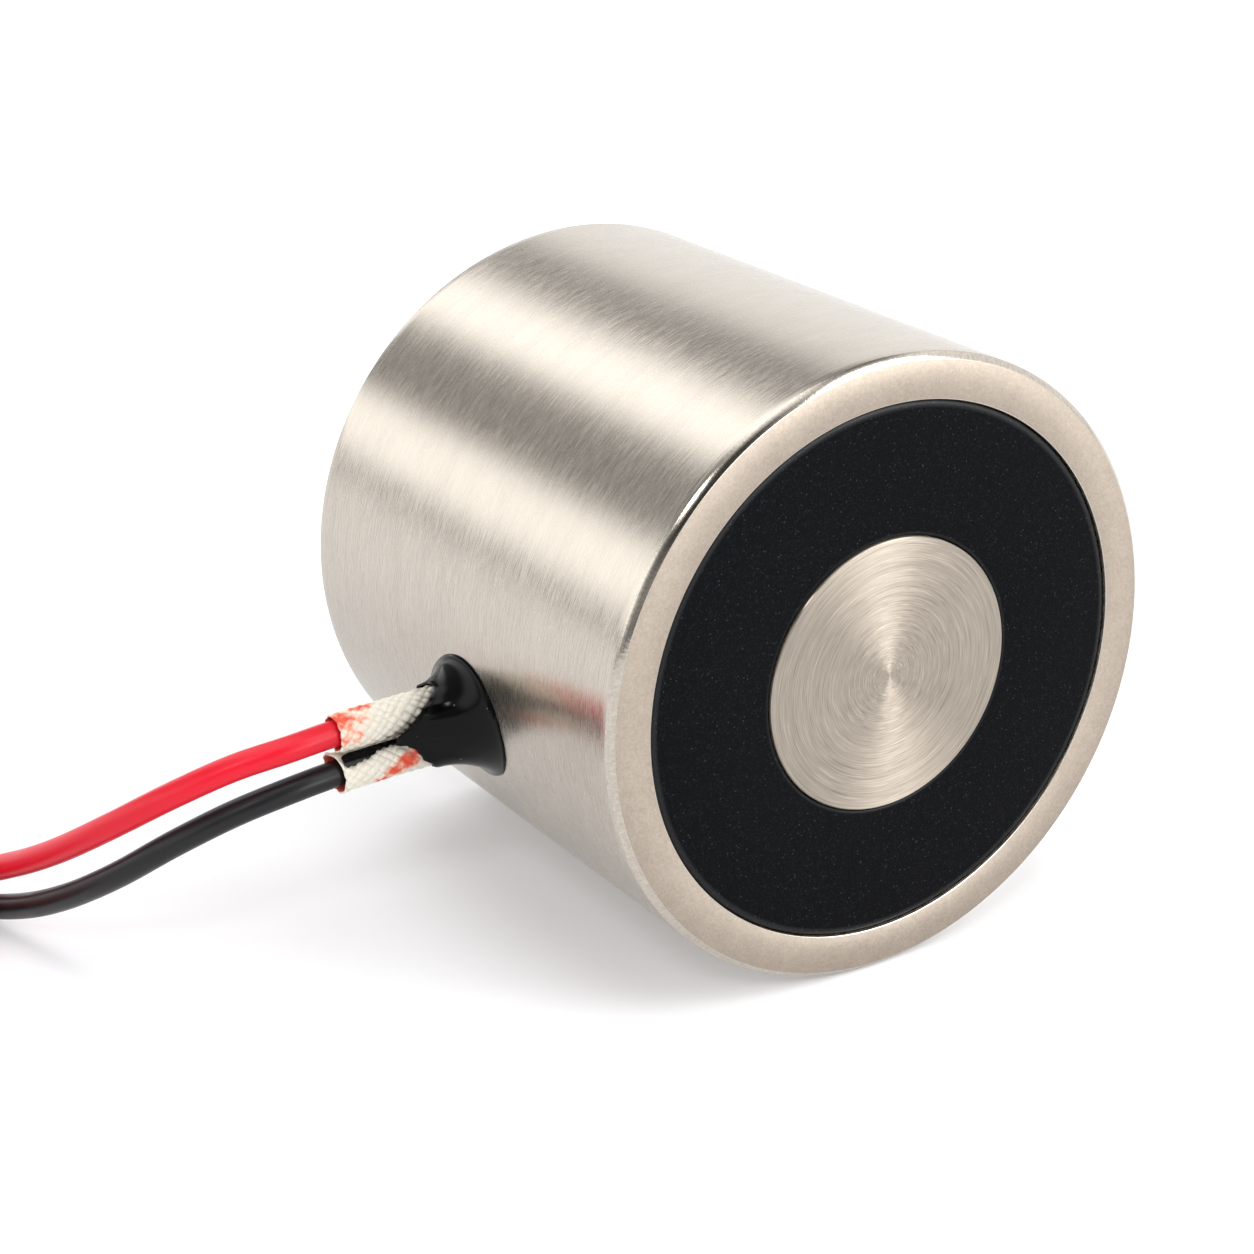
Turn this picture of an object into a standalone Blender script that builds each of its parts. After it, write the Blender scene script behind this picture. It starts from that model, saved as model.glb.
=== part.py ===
"""Round holding electromagnet, 60 mm across and 55 mm long, lying on its side with its two leads.

The frame has its origin on the floor under the middle of the magnet. The axis of the magnet runs
along Y, with the pole face at -Y and the mounting face at +Y. The leads leave towards -X.
"""

from math import asin, cos, pi, radians, sin, sqrt, tan

import bmesh
import bpy
from mathutils import Matrix, Vector
from mathutils.geometry import interpolate_bezier

# Steel cup, all lengths in metres
BODY_DIAMETER = 0.060
BODY_LENGTH = 0.055
RIM_WIDTH = 0.0043
BASE_THICKNESS = 0.008
EDGE_CHAMFER = 0.0005
BORE_CHAMFER = 0.00015

# Room for the winding round the steel core, then the core with its spigot and tapped mounting hole
WINDING_SPACE = 0.0126
CORE_CHAMFER = 0.0003
SHOULDER_WIDTH = 0.0032
TAPPING_DIAMETER = 0.0068
TAPPED_DEPTH = 0.012
COUNTERSINK_DEPTH = 0.0008
DRILL_POINT_ANGLE = radians(118)

# Clearances between pieces that touch on the real magnet
PRESS_GAP = 0.00015
SEAT_GAP = 0.0003

# Bobbin, winding and tape
POTTED_DEPTH = 0.0085
TUBE_WALL = 0.0010
FLANGE_THICKNESS = 0.0013
FLANGE_MARGIN = 0.0017
WINDING_MARGIN = 0.0032
TAPE_THICKNESS = 0.0005
NOTCH_WIDTH = 0.0020

# Resin face between the poles
RESIN_RECESS = 0.00025
RESIN_EDGE_RADIUS = 0.0004

# Leads, sleeves and the winding's wire
LEAD_DIAMETER = 0.0025
LEAD_CLEARANCE = 0.0003
SLEEVE_WALL = 0.00035
SLEEVE_SPACING = 0.0002
SLEEVE_PROTRUSION = 0.0006
BRAID_HEIGHT = 0.00012
BRAID_LENGTH = 0.0104
WIRE_DIAMETER = 0.0006
WIRE_SLEEVE_WALL = 0.00018
WIRE_SLEEVE_GAP = 0.00012
WIRE_SLEEVE_LENGTH = 0.0050
WIRE_BEND = 0.0012
JOINT_LENGTH = 0.0050
JOINT_DIAMETER = 0.0018

# Lead hole, and the stub of two sleeves that leaves it
HOLE_DIAMETER = 0.0126
HOLE_FLARE = 0.0003
HOLE_OFFSET = -0.00125
HOLE_ANGLE = radians(13.9)
STUB_DIP = radians(2.5)
STUB_REACH = 0.0130
STUB_RISE = -0.00014

# Seal that fills the lead hole and grips the sleeves
SEAL_GAP = 0.00012
SEAL_SKIN = 0.00022
SEAL_SINK = 0.00005
SEAL_RIM_GAP = 0.0002
LIP_REACH = 0.0028
LIP_POINT = 0.0037
LIP_POWER = 1.4
TRUMPET_POWER = 2.0
TRUMPET_RISE = 1.5
TONGUE_SHORTFALL = 0.0006
TONGUE_ROOT = 0.0015
TONGUE_DEPTH = 0.0009
TONGUE_STAND = 0.00012
TONGUE_ROOT_WIDTH = 0.0007
TONGUE_END_WIDTH = 0.0015

# Coil of the unseen lead, its tie and the stripped tips
COIL_RADIUS = 0.0164
COIL_PITCH = 0.0027
COIL_TURNS = 2.3
COIL_SLACK = 0.0001
COIL_CORNER = 0.0008
TIE_ANGLE = radians(200)
TIE_WIDTH = 0.0030
TIE_THICKNESS = 0.0004
TIE_GAP = 0.0002
TIP_LENGTH = 0.0060
TIP_DIAMETER = 0.0013
TIP_TURN = radians(25)
TIP_ADVANCE = radians(47)

# Cutters run past what they cut by this much, and points this close are one point
OVERRUN = 0.0020
MERGE_DISTANCE = 0.00001

# Faces round each kind of piece, and points along a lead
TURNED_SIDES = 96
INNER_SIDES = 48
SEAL_SIDES = 40
SEAL_RINGS = 9
BRAID_SIDES = 22
BRAID_ROWS = 18
SMALL_SIDES = 16
EDGE_STEPS = 3
SPAN_POINTS = 3
BEND_POINTS = 5
SMOOTH_ANGLE = radians(30)

# How far the handles of a round bend reach to its corner
bend_share = 0.55

# Free route of each lead from its sleeve to the coil, chosen by hand, in steps of ROUTE_STEP
ROUTE_STEP = 0.001
RED_ROUTE = [
    (-47.5, -1.2, 24.2), (-52.2, 0.1, 23.1), (-57.1, 2.6, 20.7), (-61.3, 6.8, 17.1),
    (-64.6, 13.3, 12.5), (-66.8, 21.0, 8.2), (-67.4, 23.6, 6.9),
]
BLACK_ROUTE = [
    (-47.4, -1.15, 20.1), (-52.5, 0.1, 18.6), (-57.3, 2.6, 15.9), (-61.4, 6.9, 11.9),
    (-64.6, 13.9, 7.2), (-66.8, 22.0, 3.3), (-67.4, 24.1, 2.6),
]
COIL_CENTRE = (-85.4, 31.5)
RED_COIL_START = 0.22
BLACK_COIL_START = 0.02

# Radii and levels that follow from the sizes above, in the magnet's own frame with Z up its axis
body_radius = BODY_DIAMETER / 2
pole_level = BODY_LENGTH / 2
floor_level = BASE_THICKNESS - pole_level
bore_radius = body_radius - RIM_WIDTH
core_radius = bore_radius - WINDING_SPACE
spigot_radius = core_radius - SHOULDER_WIDTH
flange_radius = bore_radius - FLANGE_MARGIN
tube_radius = core_radius + SEAT_GAP + TUBE_WALL
bobbin_top = pole_level - POTTED_DEPTH
bobbin_bottom = floor_level + SEAT_GAP
winding_radius = flange_radius - WINDING_MARGIN
winding_top = bobbin_top - FLANGE_THICKNESS - SEAT_GAP
winding_bottom = bobbin_bottom + FLANGE_THICKNESS + SEAT_GAP
tape_radius = winding_radius + SEAT_GAP + TAPE_THICKNESS
resin_inner = tape_radius + SEAT_GAP
wire_radius = WIRE_DIAMETER / 2
wire_level = resin_inner + wire_radius
lead_radius = LEAD_DIAMETER / 2
sleeve_bore = lead_radius + LEAD_CLEARANCE
sleeve_radius = sleeve_bore + SLEEVE_WALL
sleeve_side = sleeve_radius + SLEEVE_SPACING / 2
sleeve_length = STUB_REACH + body_radius - bore_radius * cos(HOLE_ANGLE) + SLEEVE_PROTRUSION
hole_radius = HOLE_DIAMETER / 2
seal_bore = sleeve_radius + SEAL_GAP
skin_radius = seal_bore + SEAL_SKIN
lip_height = sleeve_side + skin_radius
coil_outer = COIL_RADIUS + lead_radius
coil_inner = COIL_RADIUS - COIL_PITCH * COIL_TURNS - lead_radius
coil_height = 2 * LEAD_DIAMETER + COIL_SLACK

# The lead hole's axis points out and down, and the stub of sleeves leaves it nearly level
front = Vector((0, -1, 0))
upwards = Vector((0, 0, 1))
hole_out = Vector((-cos(HOLE_ANGLE), 0, -sin(HOLE_ANGLE)))
hole_up = Vector((-sin(HOLE_ANGLE), 0, cos(HOLE_ANGLE)))
stub_out = Vector((-cos(STUB_DIP), 0, -sin(STUB_DIP)))
stub_up = Vector((-sin(STUB_DIP), 0, cos(STUB_DIP)))
hole_middle = Vector((0, HOLE_OFFSET, body_radius))
stub_mouth = hole_middle + stub_up * STUB_RISE
stub_mouth += Vector((-body_radius - STUB_REACH, 0, -body_radius * sin(HOLE_ANGLE)))
coil_middle = Vector((*COIL_CENTRE, 0)) * ROUTE_STEP


def clear_scene():
    for thing in list(bpy.data.objects):
        bpy.data.objects.remove(thing, do_unlink=True)


def new_collection(name):
    collection = bpy.data.collections.new(name)
    bpy.context.scene.collection.children.link(collection)
    return collection


def new_material(name, colour, roughness, metallic=0.0):
    material = bpy.data.materials.new(name)
    material.use_nodes = True
    shader = material.node_tree.nodes["Principled BSDF"]
    shader.inputs["Base Color"].default_value = (*colour, 1)
    shader.inputs["Roughness"].default_value = roughness
    shader.inputs["Metallic"].default_value = metallic
    return material


def add_part(name, data, material, parent=None):
    part = bpy.data.objects.new(name, data)
    parts.objects.link(part)
    part.parent = parent
    data.materials.append(material)
    return part


def add_cutter(name, data, parent=None):
    cutter = bpy.data.objects.new(name, data)
    cutters.objects.link(cutter)
    cutter.parent = parent
    cutter.hide_render = True
    cutter.display_type = "WIRE"
    return cutter


def mesh_data(name, mesh):
    data = bpy.data.meshes.new(name)
    mesh.to_mesh(data)
    mesh.free()
    return data


def smooth(part):
    part.data.shade_smooth()
    part.data.set_sharp_from_angle(angle=SMOOTH_ANGLE)
    return part


def combine(part, other, operation):
    boolean = part.modifiers.new(other.name, "BOOLEAN")
    boolean.operation = operation
    boolean.solver = "EXACT"
    boolean.object = other


def profile_mesh(name, points, closed):
    """Edges in the XZ plane, from pairs of radius and height, that a Screw modifier turns."""
    mesh = bmesh.new()
    corners = [mesh.verts.new((radius, 0, height)) for radius, height in points]
    for first, second in zip(corners, corners[1:]):
        mesh.edges.new((first, second))
    if closed:
        mesh.edges.new((corners[-1], corners[0]))
    return mesh_data(name, mesh)


def turned_part(name, points, material, sides, parent, closed=True):
    """A piece turned round its own Z axis. The profile runs down the outer side."""
    part = add_part(name, profile_mesh(name, points, closed), material, parent)
    screw = part.modifiers.new("turned", "SCREW")
    screw.steps = screw.render_steps = sides
    screw.use_merge_vertices = True
    screw.merge_threshold = MERGE_DISTANCE
    screw.use_smooth_shade = True
    return part


def quarter_turn(centre, radius, first):
    """Points on a quarter circle in the profile plane, clockwise from the angle first."""
    angles = [first - pi / 2 * step / EDGE_STEPS for step in range(EDGE_STEPS + 1)]
    return [(centre[0] + radius * cos(a), centre[1] + radius * sin(a)) for a in angles]


def rod_mesh(name, start, end, radius, sides):
    """A cylinder between two points."""
    mesh = bmesh.new()
    bmesh.ops.create_cone(
        mesh, cap_ends=True, segments=sides, radius1=radius, radius2=radius,
        depth=(end - start).length,
    )
    facing = (end - start).to_track_quat("Z", "Y").to_matrix().to_4x4()
    bmesh.ops.transform(mesh, matrix=Matrix.Translation((start + end) / 2) @ facing, verts=mesh.verts)
    return mesh_data(name, mesh)


def box_mesh(name, size, matrix):
    mesh = bmesh.new()
    bmesh.ops.create_cube(mesh, size=1, matrix=matrix @ Matrix.Diagonal((*size, 1)))
    return mesh_data(name, mesh)


def axes_matrix(origin, x_axis, y_axis, z_axis):
    """The matrix that puts a piece at a point with its own axes along three directions."""
    turned = Matrix((x_axis, y_axis, z_axis)).transposed().to_4x4()
    return Matrix.Translation(origin) @ turned


def flat_cap(mesh, loop):
    mesh.faces.new(loop)


def ladder_cap(mesh, loop):
    """Rungs between points of the same height close a ring whose end isn't flat."""
    count = len(loop)
    top = count // 4
    left = [loop[(top + step) % count] for step in range(count // 2 + 1)]
    right = [loop[(top - step) % count] for step in range(count // 2 + 1)]
    for corners in zip(left, left[1:], right[1:], right):
        mesh.faces.new(dict.fromkeys(corners))


def loft_mesh(name, rings, first_cap=None, last_cap=None):
    """A surface through rings of as many points each. Without caps it closes on itself, like a tube."""
    mesh = bmesh.new()
    loops = [[mesh.verts.new(point) for point in ring] for ring in rings]
    pairs = list(zip(loops, loops[1:]))
    if first_cap is None:
        pairs.append((loops[-1], loops[0]))
    else:
        first_cap(mesh, loops[0])
        last_cap(mesh, loops[-1])
    for lower, upper in pairs:
        for corners in zip(lower, lower[1:] + lower[:1], upper[1:] + upper[:1], upper):
            mesh.faces.new(corners)
    bmesh.ops.recalc_face_normals(mesh, faces=mesh.faces)
    return mesh_data(name, mesh)


def ring_angles(count):
    return [2 * pi * step / count for step in range(count)]


def flat_ring(radius, out):
    """A plane ring round the axis of the lead hole, at a distance from the magnet's axis."""
    middle = hole_middle + hole_out * out
    return [middle + (front * cos(a) + hole_up * sin(a)) * radius for a in ring_angles(SEAL_SIDES)]


def saddle_ring(radius, lift):
    """A ring round the lead hole that keeps one height over the curved side of the cup."""
    ring = []
    for a in ring_angles(SEAL_SIDES):
        across = radius * sin(a)
        out = sqrt(body_radius**2 - across**2) + lift
        ring.append(hole_middle + front * radius * cos(a) + hole_up * across + hole_out * out)
    return ring


def stadium_points(radius):
    """Even steps round both sleeves, across and up the stub: two half circles and two straight sides."""
    quarter = sleeve_side + pi * radius / 2
    quadrant_steps = SEAL_SIDES // 4
    points = []
    for step in range(SEAL_SIDES):
        lap, rest = divmod(step, quadrant_steps)
        if lap % 2:
            rest = quadrant_steps - rest
        way = quarter * rest / quadrant_steps
        across, up = radius, way
        if way > sleeve_side:
            angle = (way - sleeve_side) / radius
            across, up = radius * cos(angle), sleeve_side + radius * sin(angle)
        points.append((-across if lap in (1, 2) else across, -up if lap >= 2 else up))
    return points


def on_stub(across, up, along):
    """A point given across, up and along the stub, from the middle of the sleeve mouths outwards."""
    return stub_mouth + front * across + stub_up * up + stub_out * along


def stadium_ring(radius, along):
    return [on_stub(across, up, along) for across, up in stadium_points(radius)]


def sleeve_point(side, along):
    """A point on the axis of the upper sleeve, side 1, or of the lower one, side -1."""
    return on_stub(0, side * sleeve_side, along)


def smooth_line(points):
    """Points along a smooth curve through the given ones."""
    spans = [(after - before).length for before, after in zip(points, points[1:])]
    slopes = [(points[1] - points[0]) / spans[0]]
    for i in range(1, len(points) - 1):
        before = (points[i] - points[i - 1]) / spans[i - 1]
        after = (points[i + 1] - points[i]) / spans[i]
        slopes.append((before * spans[i] + after * spans[i - 1]) / (spans[i - 1] + spans[i]))
    slopes.append((points[-1] - points[-2]) / spans[-1])
    line = []
    for i, span in enumerate(spans):
        first_handle = points[i] + slopes[i] * span / 3
        second_handle = points[i + 1] - slopes[i + 1] * span / 3
        stretch = interpolate_bezier(
            points[i], first_handle, second_handle, points[i + 1], SPAN_POINTS + 1
        )
        line += stretch[:-1]
    return line + [points[-1]]


def rounded_line(corners):
    """Straight stretches with a bend at each corner."""
    line = [corners[0]]
    for before, corner, after in zip(corners, corners[1:], corners[2:]):
        start = corner + (before - corner).normalized() * WIRE_BEND
        end = corner + (after - corner).normalized() * WIRE_BEND
        first_handle = start.lerp(corner, bend_share)
        second_handle = end.lerp(corner, bend_share)
        line += interpolate_bezier(start, first_handle, second_handle, end, BEND_POINTS)
    return line + [corners[-1]]


def tube_part(name, points, radius, material):
    """A round cord through points, as a curve with a bevel and filled caps."""
    curve = bpy.data.curves.new(name, "CURVE")
    curve.dimensions = "3D"
    curve.bevel_depth = radius
    curve.bevel_resolution = 2
    curve.use_fill_caps = True
    spline = curve.splines.new("POLY")
    spline.points.add(len(points) - 1)
    for place, point in zip(spline.points, points):
        place.co = (*point, 1)
    return add_part(name, curve, material)


def make_cup(magnet_frame):
    """The outer pole: a turned cup with a hole in its base for the core's spigot."""
    edge = body_radius - EDGE_CHAMFER
    spigot_hole = spigot_radius + PRESS_GAP
    profile = [
        (edge, pole_level), (body_radius, pole_level - EDGE_CHAMFER),
        (body_radius, EDGE_CHAMFER - pole_level), (edge, -pole_level),
        (spigot_hole, -pole_level), (spigot_hole, floor_level),
        (bore_radius, floor_level), (bore_radius, pole_level - BORE_CHAMFER),
        (bore_radius + BORE_CHAMFER, pole_level),
    ]
    cup = turned_part("cup_housing", profile, steel, TURNED_SIDES, magnet_frame)
    rings = [
        flat_ring(hole_radius, bore_radius - OVERRUN),
        saddle_ring(hole_radius, -HOLE_FLARE),
        saddle_ring(hole_radius + HOLE_FLARE, 0),
        saddle_ring(hole_radius + HOLE_FLARE + OVERRUN, OVERRUN),
    ]
    hole = add_cutter("lead_hole", loft_mesh("lead_hole", rings, flat_cap, ladder_cap))
    combine(cup, hole, "DIFFERENCE")


def make_core(magnet_frame):
    """The inner pole, with a spigot through the base and the tapped hole that the magnet hangs by."""
    shoulder = floor_level + SEAT_GAP
    tapping = TAPPING_DIAMETER / 2
    hole_end = TAPPED_DEPTH - pole_level
    profile = [
        (0, pole_level), (core_radius - CORE_CHAMFER, pole_level),
        (core_radius, pole_level - CORE_CHAMFER), (core_radius, shoulder),
        (spigot_radius, shoulder), (spigot_radius, CORE_CHAMFER - pole_level),
        (spigot_radius - CORE_CHAMFER, -pole_level),
        (tapping + COUNTERSINK_DEPTH, -pole_level), (tapping, COUNTERSINK_DEPTH - pole_level),
        (tapping, hole_end), (0, hole_end + tapping / tan(DRILL_POINT_ANGLE / 2)),
    ]
    turned_part("pole_core", profile, steel, INNER_SIDES, magnet_frame, closed=False)


def make_bobbin(magnet_frame):
    """A tube with two flanges. The rear flange has a slot for the winding's start wire."""
    inner = core_radius + SEAT_GAP
    profile = [
        (flange_radius, bobbin_top), (flange_radius, bobbin_top - FLANGE_THICKNESS),
        (tube_radius, bobbin_top - FLANGE_THICKNESS),
        (tube_radius, bobbin_bottom + FLANGE_THICKNESS),
        (flange_radius, bobbin_bottom + FLANGE_THICKNESS), (flange_radius, bobbin_bottom),
        (inner, bobbin_bottom), (inner, bobbin_top),
    ]
    bobbin = turned_part("coil_bobbin", profile, nylon, INNER_SIDES, magnet_frame)
    inside, outside = tube_radius, flange_radius + OVERRUN
    middle = hole_middle + start_out * (inside + outside) / 2
    middle.y = notch_level
    size = (outside - inside, FLANGE_THICKNESS + OVERRUN, NOTCH_WIDTH)
    notch = box_mesh("start_wire_notch", size, axes_matrix(middle, start_out, front, start_up))
    combine(bobbin, add_cutter("start_wire_notch", notch), "DIFFERENCE")


def make_winding(magnet_frame):
    """The copper winding, and the tape round it with a slit for the finish wire."""
    inner = tube_radius + SEAT_GAP
    ring = [
        (winding_radius, winding_top), (winding_radius, winding_bottom),
        (inner, winding_bottom), (inner, winding_top),
    ]
    turned_part("coil_winding", ring, copper, INNER_SIDES, magnet_frame)
    inner = winding_radius + SEAT_GAP
    wrap = [
        (tape_radius, winding_top), (tape_radius, winding_bottom),
        (inner, winding_bottom), (inner, winding_top),
    ]
    tape = turned_part("winding_tape", wrap, polyester, INNER_SIDES, magnet_frame)
    outside = reach(sleeve_point(-1, -sleeve_length), resin_inner)
    inside = outside - stub_out * (TAPE_THICKNESS + OVERRUN)
    slit = rod_mesh("finish_wire_slit", outside, inside, wire_radius + SEAT_GAP, SMALL_SIDES)
    combine(tape, add_cutter("finish_wire_slit", slit), "DIFFERENCE")


def make_resin(magnet_frame):
    """Resin cast into the cup: a ring between the poles and a jacket that locks round the bobbin."""
    top = pole_level - RESIN_RECESS
    outer = bore_radius - PRESS_GAP
    inner = core_radius + PRESS_GAP
    rim = flange_radius + SEAT_GAP
    edge = RESIN_EDGE_RADIUS
    profile = quarter_turn((inner + edge, top - edge), edge, pi)
    profile += quarter_turn((outer - edge, top - edge), edge, pi / 2)
    profile += [
        (outer, bobbin_bottom), (rim, bobbin_bottom), (rim, winding_bottom),
        (resin_inner, winding_bottom), (resin_inner, winding_top), (rim, winding_top),
        (rim, bobbin_top + SEAT_GAP), (inner, bobbin_top + SEAT_GAP),
    ]
    resin = turned_part("potting_compound", profile, epoxy, TURNED_SIDES, magnet_frame)
    pocket_end = reach(on_stub(0, 0, -sleeve_length), winding_radius) - stub_mouth
    rings = [
        stadium_ring(sleeve_radius + SEAT_GAP, along)
        for along in (-STUB_REACH, pocket_end.dot(stub_out))
    ]
    pocket = add_cutter("sleeve_pocket", loft_mesh("sleeve_pocket", rings, flat_cap, flat_cap))
    combine(resin, pocket, "DIFFERENCE")
    inside, outside = resin_inner - OVERRUN, wire_level + wire_radius + SEAT_GAP
    rear = -bobbin_bottom + OVERRUN
    middle = hole_middle + start_out * (inside + outside) / 2
    middle.y = (HOLE_OFFSET + rear) / 2
    size = (outside - inside, rear - HOLE_OFFSET, NOTCH_WIDTH)
    groove = box_mesh("start_wire_groove", size, axes_matrix(middle, start_out, front, start_up))
    combine(resin, add_cutter("start_wire_groove", groove), "DIFFERENCE")


def reach(point, radius):
    """Where the line through a point, inwards along the stub, comes to a distance from the axis."""
    start = point - hole_middle
    start.y = 0
    half = start.dot(stub_out)
    step = half - sqrt(half**2 - start.length_squared + radius**2)
    return point - stub_out * step


def make_start_wire():
    """From the joint in the red sleeve, back along the tape and in through the flange's slot."""
    begin = sleeve_point(1, -sleeve_length)
    over_tape = hole_middle + start_out * wire_level
    in_slot = over_tape.copy()
    in_slot.y = notch_level
    end = hole_middle + start_out * (tube_radius + SEAT_GAP)
    end.y = notch_level
    corners = [begin, over_tape, in_slot, end]
    tube_part("start_wire", rounded_line(corners), wire_radius, enamel)
    bore = wire_radius + WIRE_SLEEVE_GAP
    outer = bore + WIRE_SLEEVE_WALL
    length = WIRE_SLEEVE_LENGTH
    profile = [(outer, length), (outer, 0), (bore, 0), (bore, length)]
    sleeve = turned_part("start_wire_sleeve", profile, polyester, SMALL_SIDES, None)
    place = hole_middle + start_out * (tube_radius + SEAT_GAP + WIRE_DIAMETER)
    place.y = notch_level
    sleeve.matrix_world = axes_matrix(place, front, start_up, start_out)


def make_finish_wire():
    """From the joint in the black sleeve straight in through the tape to the winding's last layer."""
    begin = sleeve_point(-1, -sleeve_length)
    end = reach(begin, winding_radius + SEAT_GAP)
    tube_part("finish_wire", [begin, (begin + end) / 2, end], wire_radius, enamel)


def make_joint(name, side):
    """A soldered joint between a lead's conductor and the winding's wire, inside the sleeve."""
    radius = JOINT_DIAMETER / 2
    waist = JOINT_LENGTH / 4
    profile = [
        (0, JOINT_LENGTH), (wire_radius, JOINT_LENGTH), (radius, JOINT_LENGTH - waist),
        (radius, waist), (wire_radius, 0), (0, 0),
    ]
    joint = turned_part(name, profile, solder, SMALL_SIDES, stub_frame, closed=False)
    joint.location = (0, side * sleeve_side, SEAT_GAP - sleeve_length)


def make_sleeve(name, side):
    """A glass-fibre sleeve: plain where it is gripped, with the raised crossings of its braid outside."""
    rings = []
    step = BRAID_LENGTH / BRAID_ROWS
    for row in range(BRAID_ROWS + 1):
        along = row * step - BRAID_LENGTH
        rings.append([
            (
                (sleeve_radius - BRAID_HEIGHT * ((row + i) % 2)) * cos(a),
                (sleeve_radius - BRAID_HEIGHT * ((row + i) % 2)) * sin(a),
                along,
            )
            for i, a in enumerate(ring_angles(BRAID_SIDES))
        ])
    for radius, along in (
        (sleeve_bore, 0), (sleeve_bore, -sleeve_length),
        (sleeve_radius, -sleeve_length), (sleeve_radius, -BRAID_LENGTH - step),
    ):
        rings.append([(radius * cos(a), radius * sin(a), along) for a in ring_angles(BRAID_SIDES)])
    sleeve = add_part(name, loft_mesh(name, rings), glass_fibre, stub_frame)
    sleeve.location = (0, side * sleeve_side, 0)
    smooth(sleeve)


def lip_along(up):
    """How far along the stub the seal's lip reaches: furthest between the sleeves."""
    share = 1 - min(1, abs(up) / lip_height)
    return LIP_REACH - STUB_REACH + LIP_POINT * share**LIP_POWER


def seal_rings():
    """From the plug in the hole, over the rim on the cup's side, along a trumpet to the scalloped lip."""
    rim = saddle_ring(hole_radius + HOLE_FLARE - SEAL_RIM_GAP, -SEAL_SINK)
    rings = [
        flat_ring(hole_radius - PRESS_GAP, bore_radius + PRESS_GAP),
        saddle_ring(hole_radius - PRESS_GAP, -HOLE_FLARE - SEAL_SINK),
        rim,
    ]
    for step in range(1, SEAL_RINGS + 1):
        part = step / SEAL_RINGS
        spread = (1 - part) ** TRUMPET_POWER
        climb = part**TRUMPET_RISE
        ring = []
        for point, (across, up) in zip(rim, stadium_points(skin_radius)):
            offset = point - stub_mouth
            begin = (offset.dot(front), offset.dot(stub_up), offset.dot(stub_out))
            ring.append(on_stub(
                across + spread * (begin[0] - across),
                up + spread * (begin[1] - up),
                begin[2] + climb * (lip_along(up) - begin[2]),
            ))
        rings.append(ring)
    return rings


def make_seal():
    """The black seal: it fills the lead hole, spreads over its edge and grips both sleeves."""
    seal = add_part("lead_seal", loft_mesh("lead_seal", seal_rings(), flat_cap, ladder_cap), rubber)
    root = lip_along(0) - TONGUE_ROOT
    outer = sleeve_radius + TONGUE_STAND
    rings = [
        [
            on_stub(across, up * width / 2, along)
            for across, up in ((TONGUE_DEPTH, -1), (outer, -1), (outer, 1), (TONGUE_DEPTH, 1))
        ]
        for along, width in ((root, TONGUE_ROOT_WIDTH), (-TONGUE_SHORTFALL, TONGUE_END_WIDTH))
    ]
    tongue = add_cutter("seal_tongue", loft_mesh("seal_tongue", rings, flat_cap, flat_cap))
    combine(seal, tongue, "UNION")
    for name, side in (("upper_sleeve_bore", 1), ("lower_sleeve_bore", -1)):
        start = sleeve_point(side, OVERRUN)
        end = sleeve_point(side, -sleeve_length - OVERRUN)
        bore = rod_mesh(name, start, end, seal_bore, BRAID_SIDES)
        combine(seal, add_cutter(name, bore), "DIFFERENCE")
    smooth(seal)


def make_lead(name, side, route, material):
    """A lead from its joint inside the sleeve to the outside of its coil."""
    inside = JOINT_LENGTH + 2 * SEAT_GAP - sleeve_length
    points = [sleeve_point(side, inside * share) for share in (1, 2 / 3, 1 / 3, 0)]
    points += [Vector(point) * ROUTE_STEP for point in route]
    tube_part(name, smooth_line(points), lead_radius, material)


def make_lead_coil():
    """Both leads wound together, as one ring, pinched from below where its tie goes round it."""
    corner = COIL_CORNER
    profile = [
        (coil_outer - corner, coil_height), (coil_outer, coil_height - corner),
        (coil_outer, corner), (coil_outer - corner, 0), (coil_inner + corner, 0),
        (coil_inner, corner), (coil_inner, coil_height - corner), (coil_inner + corner, coil_height),
    ]
    coil = turned_part("lead_coil", profile, black_pvc, INNER_SIDES, None)
    coil.location = coil_middle
    middle = (coil_outer + coil_inner) / 2
    width = coil_outer - coil_inner
    out = Vector((cos(TIE_ANGLE), sin(TIE_ANGLE), 0))
    along = Vector((-sin(TIE_ANGLE), cos(TIE_ANGLE), 0))
    place = axes_matrix(coil_middle + out * middle, out, along, upwards)
    pinch = TIE_THICKNESS + TIE_GAP
    size = (width + OVERRUN, TIE_WIDTH + 2 * TIE_GAP, 2 * pinch)
    cut = add_cutter("tie_pinch", box_mesh("tie_pinch", size, place))
    combine(coil, cut, "DIFFERENCE")
    half = width / 2 + TIE_GAP
    top = coil_height + TIE_GAP * 2
    inner = [(-half, TIE_THICKNESS), (half, TIE_THICKNESS), (half, top), (-half, top)]
    full = half + TIE_THICKNESS
    outer = [(-full, 0), (full, 0), (full, top + TIE_THICKNESS), (-full, top + TIE_THICKNESS)]
    rings = [
        [coil_middle + out * (middle + x) + along * way + upwards * z for x, z in corners]
        for corners, way in (
            (outer, -TIE_WIDTH / 2), (outer, TIE_WIDTH / 2),
            (inner, TIE_WIDTH / 2), (inner, -TIE_WIDTH / 2),
        )
    ]
    add_part("coil_tie", loft_mesh("coil_tie", rings), nylon)


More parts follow.
